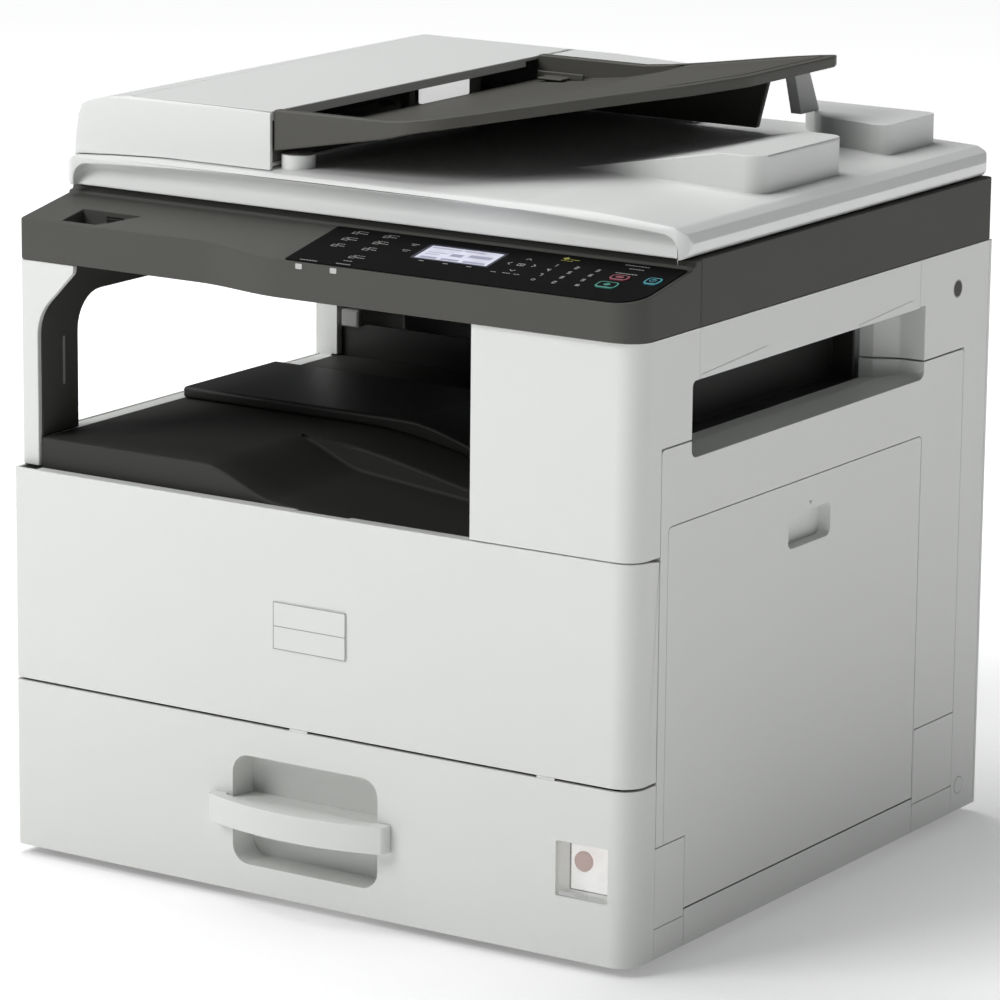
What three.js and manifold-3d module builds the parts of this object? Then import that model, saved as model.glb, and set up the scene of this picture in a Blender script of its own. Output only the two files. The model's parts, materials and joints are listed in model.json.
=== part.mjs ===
// Desktop A3 photocopier: one paper drawer, an output bay inside the body, a flatbed
// scanner with a control panel, and a document feeder on the platen cover.
// Millimetres, +Z up, +X to the machine's right, +Y to its back. While the pieces are made,
// y = 0 is the plane of the front door and z = 0 the lower edge of the covers.

import * as THREE from 'three';
import { mergeVertices } from 'three/addons/utils/BufferGeometryUtils.js';
import Module from 'manifold-3d';

const wasm = await Module();
wasm.setup();

// ---- driving dimensions ----

const WIDTH = 587;              // across the side covers
const DEPTH = 556;              // front door plane to rear cover plane
const DRAWER_HEIGHT = 139;      // drawer front
const DOOR_HEIGHT = 174.5;      // front door
const BAY_HEIGHT = 167;         // output bay, door top to scanner
const BAND_HEIGHT = 51.5;       // scanner housing
const LID_HEIGHT = 31.2;        // platen cover, at its middle
const FEEDER_HEIGHT = 45.5;     // document feeder above the platen cover
const TRAY_RISE = 24.8;         // how far the feeder tray's tip stands above the feeder
const FOOT_HEIGHT = 8;
const FOOT_RADIUS = 15;
const SEAM = 2;                 // open joint between the drawer and the door
const GAP = 0.5;                // clearance between neighbouring pieces
const DOOR_GAP = 0.9;           // open joint round the right door
const WALL = 3.5;               // moulded covers
const SHEET = 3;                // frame plates
const CORNER = 20;              // upright front corner at the right
const LEFT_CORNER = 4;          // and at the left
const BOW = 2.5;                // how far the front falls back at its right end
const BOW_MIDDLE = -100;        // x where the front stands out most
const WRAP = 36.7;              // front covers reach this far round the sides
const POST_WIDTH = 17;          // left wall of the output bay
const POST_DEPTH = 58;          // front post of that wall, front to back
const BAY_RIGHT_INSET = 147.5;  // right side to the bay's right wall
const BAY_REAR_INSET = 126;     // back of the machine to the bay's rear wall
const HANDLE_LENGTH = 169;
const HANDLE_X = -8.9;
const HANDLE_HEIGHT = 22;
const HANDLE_REACH = 24;        // handle bar in front of the door plane
const HANDLE_END = 9;           // and at its two ends
const PULL_WIDTH = 138.7;       // recess behind the handle
const PULL_HEIGHT = 89.5;
const PULL_DEPTH = 28;
const WINDOW_WIDTH = 46.5;      // clear flap over the power switch
const WINDOW_HEIGHT = 44;
const PANEL_SLOPE = 0.19;       // rise of the control panel's top per millimetre of depth
const PANEL_DEPTH = 90;         // front edge zone of the control panel
const SHEET_THICK = 0.8;        // key sheet
const KEY_TRAVEL = 0.8;
const FEEDER_WIDTH = 193.5;     // white feeder cover
const LIP = 8;                  // edge of the feeder cover over its throat
const DRUM_RADIUS = 15;
const FUSER_RADIUS = 15;
const FEED_ROLLER_RADIUS = 14;
const BOTTLE_RADIUS = 36;
const SLOT_FRONT = 80;          // side exit slot, its front end
const SLOT_HEIGHT = 59.5;
const SLOT_DEPTH = 53;

// ---- levels and places worked out from them ----

const HALF = WIDTH / 2;
const DOOR_BOTTOM = DRAWER_HEIGHT + SEAM;
const DOOR_TOP = DOOR_BOTTOM + DOOR_HEIGHT;
const BAY_FLOOR = DOOR_TOP + 23;
const BODY_TOP = DOOR_TOP + BAY_HEIGHT + GAP;
const BAND_BOTTOM = BODY_TOP + GAP;
const BAND_TOP = BAND_BOTTOM + BAND_HEIGHT;
const LID_BOTTOM = BAND_TOP + 1.3;
const LID_TOP = LID_BOTTOM + LID_HEIGHT;
const FEEDER_TOP = LID_TOP + FEEDER_HEIGHT;
const TRAY_TOP = FEEDER_TOP + TRAY_RISE;
const LEFT_INNER = -HALF + POST_WIDTH;
const BAY_RIGHT = HALF - BAY_RIGHT_INSET;
const BAY_REAR = DEPTH - BAY_REAR_INSET;
const REAR_PLANE = DEPTH - WALL;
const HINGE_REACH = 14;         // lid hinges behind the rear cover
const Y_CENTRE = (DEPTH + HINGE_REACH - HANDLE_REACH) / 2;

const DOOR_CUT_TOP = DOOR_TOP + 83;      // top of the right door
const SLOT_FLOOR = DOOR_CUT_TOP - 14.5;
const SLOT_CEILING = SLOT_FLOOR + SLOT_HEIGHT;
const SLOT_REAR = DEPTH - 111.5;
const RIGHT_DOOR_REAR = DEPTH - 43.5;
const RIGHT_DOOR_BOTTOM = 30;
const RIGHT_DOOR_INNER = HALF - 31.5;
const CAP_TOP = 88;                      // hinge caps at the right door's lower corners
const CAP_BOTTOM = 25;

// ---- materials ----

const finish = (color, roughness, metalness = 0) =>
  new THREE.MeshStandardMaterial({ color, roughness, metalness });
const white = finish(0xdfe1de, 0.45);
const dark = finish(0x605f5b, 0.5);
const black = finish(0x242423, 0.45);
const grey = finish(0x9a9b98, 0.5);
const steel = finish(0xb0b3b4, 0.35, 0.9);
const rubber = finish(0x1b1b1b, 0.9);
const clear = finish(0xc8ced0, 0.1);
const glass = finish(0x9fb3ad, 0.05);
const screen = finish(0xe0e0f0, 0.3);
const green = finish(0x2f8f7d, 0.4);
const red = finish(0x9a4c56, 0.4);
const blue = finish(0x2f86a8, 0.4);
const organic = finish(0x3e7f8c, 0.25);

// ---- shape helpers ----

// Closed geometry to a solid that can be cut and joined.
function solid(geometry) {
  const bare = geometry.clone();
  for (const name of Object.keys(bare.attributes)) {
    if (name !== 'position') bare.deleteAttribute(name);
  }
  const merged = mergeVertices(bare, 1e-4);
  return new wasm.Manifold(new wasm.Mesh({
    numProp: 3,
    vertProperties: new Float32Array(merged.attributes.position.array),
    triVerts: new Uint32Array(merged.index.array),
  }));
}

// Outline from corner points [a, b, radius]; a radius rounds that corner with an arc.
function outline(corners, steps = 4) {
  const points = [];
  corners.forEach((corner, i) => {
    const [a, b, radius = 0] = corner;
    const here = new THREE.Vector2(a, b);
    if (!radius) {
      points.push(here);
      return;
    }
    const before = corners[(i + corners.length - 1) % corners.length];
    const after = corners[(i + 1) % corners.length];
    const back = new THREE.Vector2(before[0], before[1]).sub(here);
    const ahead = new THREE.Vector2(after[0], after[1]).sub(here);
    const room = Math.min(back.length(), ahead.length()) * 0.499;
    back.normalize();
    ahead.normalize();
    const half = Math.acos(THREE.MathUtils.clamp(back.dot(ahead), -1, 1)) / 2;
    const r = Math.min(radius, room * Math.tan(half));
    const start = back.clone().multiplyScalar(r / Math.tan(half)).add(here);
    const end = ahead.clone().multiplyScalar(r / Math.tan(half)).add(here);
    const middle = back.clone().add(ahead).normalize().multiplyScalar(r / Math.sin(half)).add(here);
    const from = start.clone().sub(middle).angle();
    let turn = end.clone().sub(middle).angle() - from;
    if (turn > Math.PI) turn -= 2 * Math.PI;
    if (turn < -Math.PI) turn += 2 * Math.PI;
    for (let k = 0; k <= steps; k++) {
      const angle = from + (turn * k) / steps;
      points.push(new THREE.Vector2(Math.cos(angle), Math.sin(angle)).multiplyScalar(r).add(middle));
    }
  });
  return new THREE.Shape(points);
}

const rectangle = (a0, a1, b0, b1, radius = 0, steps = 4) =>
  outline([[a0, b0, radius], [a1, b0, radius], [a1, b1, radius], [a0, b1, radius]], steps);

// A flat shape carried along one axis, from low to high.
function prism(axis, shape, low, high) {
  const geometry = new THREE.ExtrudeGeometry(shape, { depth: high - low, bevelEnabled: false });
  const x = new THREE.Vector3(1, 0, 0);
  const y = new THREE.Vector3(0, 1, 0);
  const z = new THREE.Vector3(0, 0, 1);
  const turn = new THREE.Matrix4();
  if (axis === 'x') turn.makeBasis(y, z, x);
  if (axis === 'y') turn.makeBasis(x, z, y.clone().negate());
  geometry.applyMatrix4(turn);
  if (axis === 'x') geometry.translate(low, 0, 0);
  if (axis === 'y') geometry.translate(0, high, 0);
  if (axis === 'z') geometry.translate(0, 0, low);
  return solid(geometry);
}

const block = (x0, x1, y0, y1, z0, z1) => prism('z', rectangle(x0, x1, y0, y1), z0, z1);

// A round bar along one axis; a and b are its centre in the other two, in x, y, z order.
function rod(axis, radius, low, high, a, b, sides = 24) {
  const circle = new THREE.Shape();
  circle.absarc(a, b, radius, 0, 2 * Math.PI);
  const points = circle.getSpacedPoints(sides).slice(0, sides);
  return prism(axis, new THREE.Shape(points), low, high);
}

const joined = (...solids) => solids.reduce((all, next) => all.add(next));
const cut = (body, ...tools) => tools.reduce((rest, tool) => rest.subtract(tool), body);

const part = new THREE.Group();
part.position.set(0, -Y_CENTRE, FOOT_HEIGHT);

function add(name, body, material) {
  const mesh = body.getMesh();
  const geometry = new THREE.BufferGeometry();
  geometry.setAttribute('position', new THREE.BufferAttribute(mesh.vertProperties, 3));
  geometry.setIndex(new THREE.BufferAttribute(mesh.triVerts, 1));
  geometry.computeVertexNormals();
  const node = new THREE.Mesh(geometry, material);
  node.name = name;
  part.add(node);
  return body;
}

// Plan of the front covers: straight sides, a tight left corner, a round right one and a
// slightly bowed front between them. The inset moves every edge inwards.
function frontPlan(inset, back) {
  const side = HALF - inset;
  const front = (x) => inset + BOW * ((x - BOW_MIDDLE) / (HALF - BOW_MIDDLE)) ** 2;
  const points = [new THREE.Vector2(-side, back)];
  const corner = (centre, radius, from) => {
    for (let k = 0; k <= 8; k++) {
      const angle = from + (Math.PI / 2) * (k / 8);
      const x = centre + radius * Math.cos(angle);
      points.push(new THREE.Vector2(x, front(centre) + radius + radius * Math.sin(angle)));
    }
  };
  const tight = Math.max(LEFT_CORNER - inset, 0.5);
  const round = CORNER - inset;
  corner(-side + tight, tight, Math.PI);
  for (let k = 1; k < 8; k++) {
    const x = -side + tight + (k / 8) * (2 * side - tight - round);
    points.push(new THREE.Vector2(x, front(x)));
  }
  corner(side - round, round, 1.5 * Math.PI);
  points.push(new THREE.Vector2(side, back));
  return new THREE.Shape(points);
}

const frontShell = (z0, z1, back) =>
  cut(prism('z', frontPlan(0, back), z0, z1), prism('z', frontPlan(WALL, back + 1), z0 - 1, z1 + 1));

// ---- feet and frame ----

function makeFeet() {
  const places = { left: -HALF + 60, right: HALF - 60 };
  for (const [side, x] of Object.entries(places)) {
    add(`foot_front_${side}`, rod('z', FOOT_RADIUS, -FOOT_HEIGHT, 5 - GAP, x, 75), rubber);
    add(`foot_rear_${side}`, rod('z', FOOT_RADIUS, -FOOT_HEIGHT, 5 - GAP, x, DEPTH - 50), rubber);
  }
}

const FRAME_LEFT = -HALF + 21;
const FRAME_RIGHT = RIGHT_DOOR_INNER - 6;
const FRAME_FRONT = 45;
const FRAME_REAR = DEPTH - 24;
const SHELF = DOOR_BOTTOM + 10;         // plate over the drawer
const DRUM = [FRAME_RIGHT - 64, SHELF + 84];
const BOTTLE = [DRUM[0] - 125, SHELF + 90];
const FUSER = [FRAME_RIGHT - 46, SHELF + 175];
const SWITCH_X = HALF - 43.7;
const SWITCH_Z = 71;

function makeFrame() {
  const deck = block(FRAME_LEFT, FRAME_RIGHT, FRAME_FRONT + 15, FRAME_REAR, 5, 8);
  const left = block(FRAME_LEFT, FRAME_LEFT + SHEET, FRAME_FRONT, FRAME_REAR, 5, DOOR_TOP - 32);
  const rear = block(FRAME_LEFT, FRAME_RIGHT, FRAME_REAR - SHEET, FRAME_REAR, 5, BODY_TOP - 8);
  const shelf = block(FRAME_LEFT, FRAME_RIGHT - 75, FRAME_FRONT, FRAME_REAR, SHELF, SHELF + SHEET);
  const front = block(FRAME_LEFT, FRAME_RIGHT, FRAME_FRONT, FRAME_FRONT + SHEET, SHELF, DOOR_TOP - 32);
  const frontHoles = [
    rod('y', BOTTLE_RADIUS + 5, FRAME_FRONT - 1, FRAME_FRONT + SHEET + 1, ...BOTTLE),
    rod('y', DRUM_RADIUS + 5, FRAME_FRONT - 1, FRAME_FRONT + SHEET + 1, ...DRUM),
    prism('y', rectangle(FRAME_LEFT + 25, BOTTLE[0] - 70, SHELF + 20, DOOR_TOP - 45, 8),
      FRAME_FRONT - 1, FRAME_FRONT + SHEET + 1),
  ];
  const column = block(FRAME_RIGHT - 50, FRAME_RIGHT, FRAME_FRONT, FRAME_FRONT + SHEET,
    SHELF, BODY_TOP - 8);
  const bracket = joined(
    block(SWITCH_X - 8, SWITCH_X + 8, 24, FRAME_FRONT + 20, 5, 8),
    block(SWITCH_X - 8, SWITCH_X + 8, 24, 27, 5, SWITCH_Z + 20),
    block(SWITCH_X - 20, SWITCH_X + 20, 24, 27, SWITCH_Z - 20, SWITCH_Z + 20),
  );
  const reach = block(FRAME_RIGHT - 20, SWITCH_X + 8, FRAME_FRONT + 15, FRAME_FRONT + 20, 5, 8);
  add('base_frame', joined(deck, left, rear, shelf, cut(front, ...frontHoles), column, bracket, reach),
    steel);
}

// ---- side and rear covers ----

function makeLeftSide() {
  const opening = [POST_DEPTH + 7, BAY_REAR - 8, BAY_FLOOR + GAP, BODY_TOP - 34];
  const hole = (grow) => prism('x', outline([
    [opening[0] - grow, opening[2] - grow, 3], [opening[1] + grow, opening[2] - grow, 3],
    [opening[1] + grow, opening[3] + grow, 8], [opening[0] - grow, opening[3] + grow, 30],
  ], 6), -HALF - 1, LEFT_INNER + 1);
  const plate = block(-HALF, -HALF + WALL, WRAP + GAP, REAR_PLANE - GAP, 0, BODY_TOP);
  const rail = block(-HALF + 1, LEFT_INNER - GAP / 2, WRAP + GAP, opening[1], BAY_FLOOR - 4, BAY_FLOOR);
  const railFront = block(-HALF + WALL + 1, LEFT_INNER - GAP / 2, 18, WRAP + 2, BAY_FLOOR - 4, BAY_FLOOR);
  const rearPost = block(-HALF + 1, LEFT_INNER - GAP / 2, opening[1], BAY_REAR + 11,
    BAY_FLOOR - 4, BODY_TOP);
  const postFace = block(-HALF + 1, LEFT_INNER + 5.5, opening[1], BAY_REAR - GAP, BAY_FLOOR + 1.8, BODY_TOP);
  add('left_side_cover', joined(cut(plate, hole(0)), rail, railFront, rearPost, postFace), white);

  const postLow = DOOR_TOP + GAP;
  const flare = prism('y', outline([
    [-HALF, postLow], [LEFT_INNER, postLow], [LEFT_INNER, BODY_TOP - 44, 40],
    [-HALF + 53.5, BODY_TOP - 6, 8], [-HALF + 53.5, BODY_TOP], [-HALF, BODY_TOP, 0],
  ], 6), 12.5, 17.5);
  const side = block(-HALF, -HALF + WALL, 12.5, WRAP, postLow, BODY_TOP);
  const edge = prism('z', outline([
    [-HALF - 1, 11], [-HALF + 8, 11], [-HALF + 8, 12.5], [-HALF, 12.5, 3], [-HALF, 18], [-HALF - 1, 18],
  ]), postLow - 1, BODY_TOP + 1);
  add('front_left_post', cut(joined(flare, side), edge), white);

  const liner = cut(
    block(-HALF + WALL + GAP, LEFT_INNER, 17.5 + GAP, opening[1] - GAP, BAY_FLOOR + GAP, BODY_TOP - GAP),
    prism('x', outline([
      [opening[0], BAY_FLOOR - 5], [opening[1] + 5, BAY_FLOOR - 5],
      [opening[1] + 5, opening[3]], [opening[0], opening[3], 30],
    ], 8), -HALF - 1, LEFT_INNER + 1),
  );
  add('left_post_liner', liner, dark);
}

function makeRearCover() {
  const plate = block(-HALF, HALF, REAR_PLANE, DEPTH, 0, BODY_TOP);
  const vents = [];
  for (let row = 0; row < 8; row++) {
    const z = BODY_TOP - 60 - row * 11;
    vents.push(prism('y', rectangle(-HALF + 60, -HALF + 200, z, z + 4, 1.9, 2), REAR_PLANE - 1, DEPTH + 1));
  }
  const socket = prism('y', rectangle(HALF - 70, HALF - 38, 40, 66, 3, 2), REAR_PLANE - 1, DEPTH + 1);
  add('rear_cover', cut(plate, ...vents, socket), white);
  const shell = cut(
    prism('y', rectangle(HALF - 70 + GAP, HALF - 38 - GAP, 40 + GAP, 66 - GAP, 3, 2), REAR_PLANE - 12, DEPTH),
    prism('y', rectangle(HALF - 66, HALF - 42, 44, 62, 2, 2), DEPTH - 12, DEPTH + 1),
  );
  const pins = [-6, 0, 6].map((step) =>
    block(HALF - 54 + step - 0.8, HALF - 54 + step + 0.8, DEPTH - 13, DEPTH - 4, 51, 55));
  add('power_inlet', joined(shell, ...pins), black);
}

// Plan of the curved wall at the back end of the side exit slot.
const slotEnd = () => outline([
  [HALF - SLOT_DEPTH, SLOT_REAR - 14], [HALF - SLOT_DEPTH + 12, SLOT_REAR - 12, 6],
  [HALF - 22, SLOT_REAR - 2, 10], [HALF, SLOT_REAR], [HALF, SLOT_REAR + WALL],
  [HALF - 23, SLOT_REAR + 1.5, 10], [HALF - SLOT_DEPTH + 11, SLOT_REAR - 8.5, 6],
  [HALF - SLOT_DEPTH, SLOT_REAR - 10.5],
]);

function makeRightSide() {
  const outer = [HALF - WALL, HALF];
  // Tall rear cover: full height behind the right door, and over it round the slot's end.
  const rearOutline = outline([
    [RIGHT_DOOR_REAR + GAP, 0], [REAR_PLANE - GAP, 0], [REAR_PLANE - GAP, BODY_TOP],
    [SLOT_REAR - 10 + GAP, BODY_TOP], [SLOT_REAR - 10 + GAP, SLOT_CEILING + 1],
    [SLOT_REAR, SLOT_CEILING + 1], [SLOT_REAR, DOOR_CUT_TOP + GAP], [RIGHT_DOOR_REAR + GAP, DOOR_CUT_TOP + GAP],
  ]);
  const rearReturn = prism('z', slotEnd(), DOOR_CUT_TOP + GAP, SLOT_CEILING);
  add('right_rear_cover', joined(prism('x', rearOutline, ...outer), rearReturn), white);

  const upper = joined(
    block(...outer, SLOT_FRONT + 10, SLOT_REAR - 10, SLOT_CEILING, BODY_TOP),
    block(HALF - SLOT_DEPTH, HALF, SLOT_FRONT + 10, SLOT_REAR - 16, SLOT_CEILING, SLOT_CEILING + WALL),
  );
  add('right_upper_cover', upper, white);

  // Front corner cover: wraps the corner, and over the door it runs back to the slot.
  const corner = frontShell(DOOR_TOP + 1, BODY_TOP, WRAP);
  const keepRight = block(BAY_RIGHT, HALF + 1, -5, WRAP + 1, DOOR_TOP, BODY_TOP + 1);
  const wing = prism('x', outline([
    [WRAP - 1, DOOR_CUT_TOP + GAP], [SLOT_FRONT, DOOR_CUT_TOP + GAP], [SLOT_FRONT, SLOT_CEILING, 5],
    [SLOT_FRONT + 10 - GAP, SLOT_CEILING], [SLOT_FRONT + 10 - GAP, BODY_TOP], [WRAP - 1, BODY_TOP],
  ]), ...outer);
  const frontReturn = block(HALF - SLOT_DEPTH, HALF, SLOT_FRONT - WALL, SLOT_FRONT,
    DOOR_CUT_TOP + GAP, SLOT_CEILING);
  const bayReturn = block(BAY_RIGHT, BAY_RIGHT + WALL, 2, FRAME_FRONT - 2, DOOR_TOP + 1, BODY_TOP);
  add('right_front_cover', joined(corner.intersect(keepRight), wing, frontReturn, bayReturn), white);

  // Lower cover: a skirt with a cap over the door's hinge at each end.
  const lower = prism('x', outline([
    [WRAP + GAP, 0], [RIGHT_DOOR_REAR, 0], [RIGHT_DOOR_REAR, CAP_TOP], [RIGHT_DOOR_REAR - 67, CAP_TOP],
    [RIGHT_DOOR_REAR - 67, RIGHT_DOOR_BOTTOM - GAP], [SLOT_FRONT, RIGHT_DOOR_BOTTOM - GAP],
    [SLOT_FRONT, CAP_TOP], [WRAP + GAP, CAP_TOP],
  ]), ...outer);
  const groove = (y0, y1, z0, z1) => block(HALF - 1, HALF + 1, y0, y1, z0, z1);
  add('right_lower_cover', cut(lower,
    groove(SLOT_FRONT + 0.4, SLOT_FRONT + 1.4, -1, RIGHT_DOOR_BOTTOM),
    groove(RIGHT_DOOR_REAR - 68.4, RIGHT_DOOR_REAR - 67.4, -1, RIGHT_DOOR_BOTTOM),
    groove(WRAP, SLOT_FRONT + 1, CAP_BOTTOM - 1, CAP_BOTTOM),
    groove(RIGHT_DOOR_REAR - 68, RIGHT_DOOR_REAR + 1, CAP_BOTTOM - 1, CAP_BOTTOM),
  ), white);

  // Dark guide at the back of the side exit slot.
  const guide = joined(
    block(HALF - SLOT_DEPTH - 24, HALF - SLOT_DEPTH - 20, SLOT_FRONT, SLOT_REAR - 20,
      SLOT_FLOOR - 6, SLOT_CEILING + WALL),
    block(HALF - SLOT_DEPTH - 22, HALF - SLOT_DEPTH - GAP, SLOT_FRONT, SLOT_REAR - 20,
      SLOT_FLOOR - 6, SLOT_FLOOR - 3),
    block(HALF - SLOT_DEPTH - 22, HALF - SLOT_DEPTH - GAP, SLOT_REAR - 23, SLOT_REAR - 20,
      SLOT_FLOOR - 6, SLOT_CEILING + WALL),
  );
  add('side_exit_guide', guide, black);
}

// ---- right door, bypass tray and its fences ----

const BYPASS = [48, DEPTH - 112, RIGHT_DOOR_BOTTOM, DOOR_BOTTOM + 196.3];   // y0, y1, z0, z1

function makeRightDoor() {
  const face = outline([
    [SLOT_FRONT + GAP, RIGHT_DOOR_BOTTOM], [RIGHT_DOOR_REAR - 67 - GAP, RIGHT_DOOR_BOTTOM],
    [RIGHT_DOOR_REAR - 67 - GAP, CAP_TOP + DOOR_GAP], [RIGHT_DOOR_REAR - DOOR_GAP + GAP, CAP_TOP + DOOR_GAP],
    [RIGHT_DOOR_REAR - DOOR_GAP + GAP, DOOR_CUT_TOP - DOOR_GAP, 3.5], [SLOT_REAR, DOOR_CUT_TOP - DOOR_GAP],
    [SLOT_REAR, SLOT_FLOOR, 8], [SLOT_FRONT, SLOT_FLOOR, 8], [SLOT_FRONT, DOOR_CUT_TOP - DOOR_GAP],
    [WRAP + DOOR_GAP, DOOR_CUT_TOP - DOOR_GAP, 3.5], [WRAP + DOOR_GAP, CAP_TOP + DOOR_GAP],
    [SLOT_FRONT + GAP, CAP_TOP + DOOR_GAP],
  ]);
  const body = prism('x', face, RIGHT_DOOR_INNER, HALF);
  const pocket = prism('x', outline([
    [BYPASS[0], BYPASS[2] - 1], [BYPASS[1], BYPASS[2] - 1], [BYPASS[1], BYPASS[3], 5],
    [BYPASS[0], BYPASS[3], 5],
  ]), HALF - 24.5, HALF + 1);
  const inside = HALF - WALL;
  const hollows = [
    block(RIGHT_DOOR_INNER - 1, inside, BYPASS[0] + 4, RIGHT_DOOR_REAR - WALL, BYPASS[3] + 4,
      SLOT_FLOOR - WALL),
    block(RIGHT_DOOR_INNER - 1, inside, BYPASS[1] + 4, RIGHT_DOOR_REAR - WALL, CAP_TOP + 4,
      SLOT_FLOOR - WALL),
    block(RIGHT_DOOR_INNER - 1, inside, WRAP + 4, SLOT_FRONT - WALL, SLOT_FLOOR - WALL - 1, DOOR_TOP + 100),
    block(RIGHT_DOOR_INNER - 1, inside, SLOT_REAR + WALL, RIGHT_DOOR_REAR - WALL, SLOT_FLOOR - WALL - 1,
      DOOR_TOP + 100),
    prism('y', outline([
      [RIGHT_DOOR_INNER - 2, DOOR_CUT_TOP - 4], [inside, DOOR_CUT_TOP - 1.4],
      [inside, DOOR_CUT_TOP + 1], [RIGHT_DOOR_INNER - 2, DOOR_CUT_TOP + 1],
    ]), WRAP, RIGHT_DOOR_REAR + 1),
  ];
  // The slot's floor slopes down inwards; the lower part of the slot's end wall stands on it.
  const floor = prism('y', outline([
    [HALF - SLOT_DEPTH, SLOT_FLOOR - 7], [RIGHT_DOOR_INNER + 1, SLOT_FLOOR - 3.4],
    [RIGHT_DOOR_INNER + 1, SLOT_FLOOR - 0.6], [HALF - SLOT_DEPTH, SLOT_FLOOR - 3],
  ]), SLOT_FRONT + 9, SLOT_REAR - 9);
  const endWall = prism('z', slotEnd(), SLOT_FLOOR - 3.3, DOOR_CUT_TOP - DOOR_GAP);
  add('right_door', joined(cut(body, pocket, ...hollows), floor, endWall), white);
}

const BYPASS_FENCE_Z = [90, 150];

function makeBypassTray() {
  const [y0, y1, z0, z1] = [BYPASS[0] + 0.8, BYPASS[1] - 0.8, BYPASS[2] + 0.7, BYPASS[3] - 0.8];
  const notchY = SLOT_FRONT + 0.7;
  const notchZ = CAP_TOP + 0.7;
  const face = (grow, high) => outline([
    [notchY + grow, z0 + grow], [y1 - grow, z0 + grow], [y1 - grow, high - grow, 4.5],
    [y0 + grow, high - grow, 4.5], [y0 + grow, notchZ + grow], [notchY + grow, notchZ + grow],
  ]);
  const plate = prism('x', face(0, z1), HALF - 12, HALF);
  const inner = prism('x', face(WALL, z1), HALF - 13, HALF - WALL);
  const middle = (y0 + y1) / 2 + 16.5;
  const pull = [middle - 33, middle + 33, z1 - 53, z1 - 26];
  const cup = block(HALF - 14, HALF - 2, pull[0] - 3, pull[1] + 3, pull[2] - 3, pull[3] + 3);
  const recess = prism('x', rectangle(...pull, 6, 4), HALF - 11, HALF + 1);
  add('bypass_tray', cut(joined(cut(plate, inner), cup), recess), white);
  for (const [side, y] of [['front', y0 + 50], ['rear', y1 - 53]]) {
    const upright = block(HALF - 22, HALF - WALL - GAP, y, y + 3, ...BYPASS_FENCE_Z);
    const toe = block(HALF - 7, HALF - WALL - GAP, y - 8, y + 11, BYPASS_FENCE_Z[0] + 8, BYPASS_FENCE_Z[1] - 8);
    add(`bypass_fence_${side}`, joined(upright, toe), grey);
  }
}

// ---- front door and drawer ----

// The door tips out about its lower edge, so its upper rear corners are cut back to clear.
const DOOR_HINGE = [3, DOOR_BOTTOM + 4];

function makeFrontDoor() {
  const shell = frontShell(DOOR_BOTTOM, DOOR_TOP, WRAP);
  const ledge = block(LEFT_INNER + 4, BAY_RIGHT - 4, 2, 11.5, DOOR_TOP - WALL, DOOR_TOP);
  const notch = block(-20, 30, 6, 12, DOOR_TOP - 1, DOOR_TOP + 1);
  const swing = rod('x', DOOR_TOP + 0.7 - DOOR_HINGE[1], -HALF - 1, HALF + 1, ...DOOR_HINGE, 160);
  add('front_door', cut(joined(shell, ledge), notch).intersect(swing), white);
  const badge = prism('y', rectangle(-36, 33, DOOR_BOTTOM + 62.5, DOOR_BOTTOM + 101, 1.5, 3), -0.8, -0.25);
  const line = block(-37, 34, -1, -0.6, DOOR_BOTTOM + 81, DOOR_BOTTOM + 81.6);
  add('front_badge', cut(badge, line), white);
}

const PULL_X = -6.3;
const PULL_Z = 67.7;
const BOX_LEFT = FRAME_LEFT + 40;
const BOX_RIGHT = FRAME_RIGHT - 40;
const BOX_FRONT = WRAP + 1;
const BOX_REAR = DEPTH - 40;
const BOX_TOP = DRAWER_HEIGHT - 20;

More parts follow.
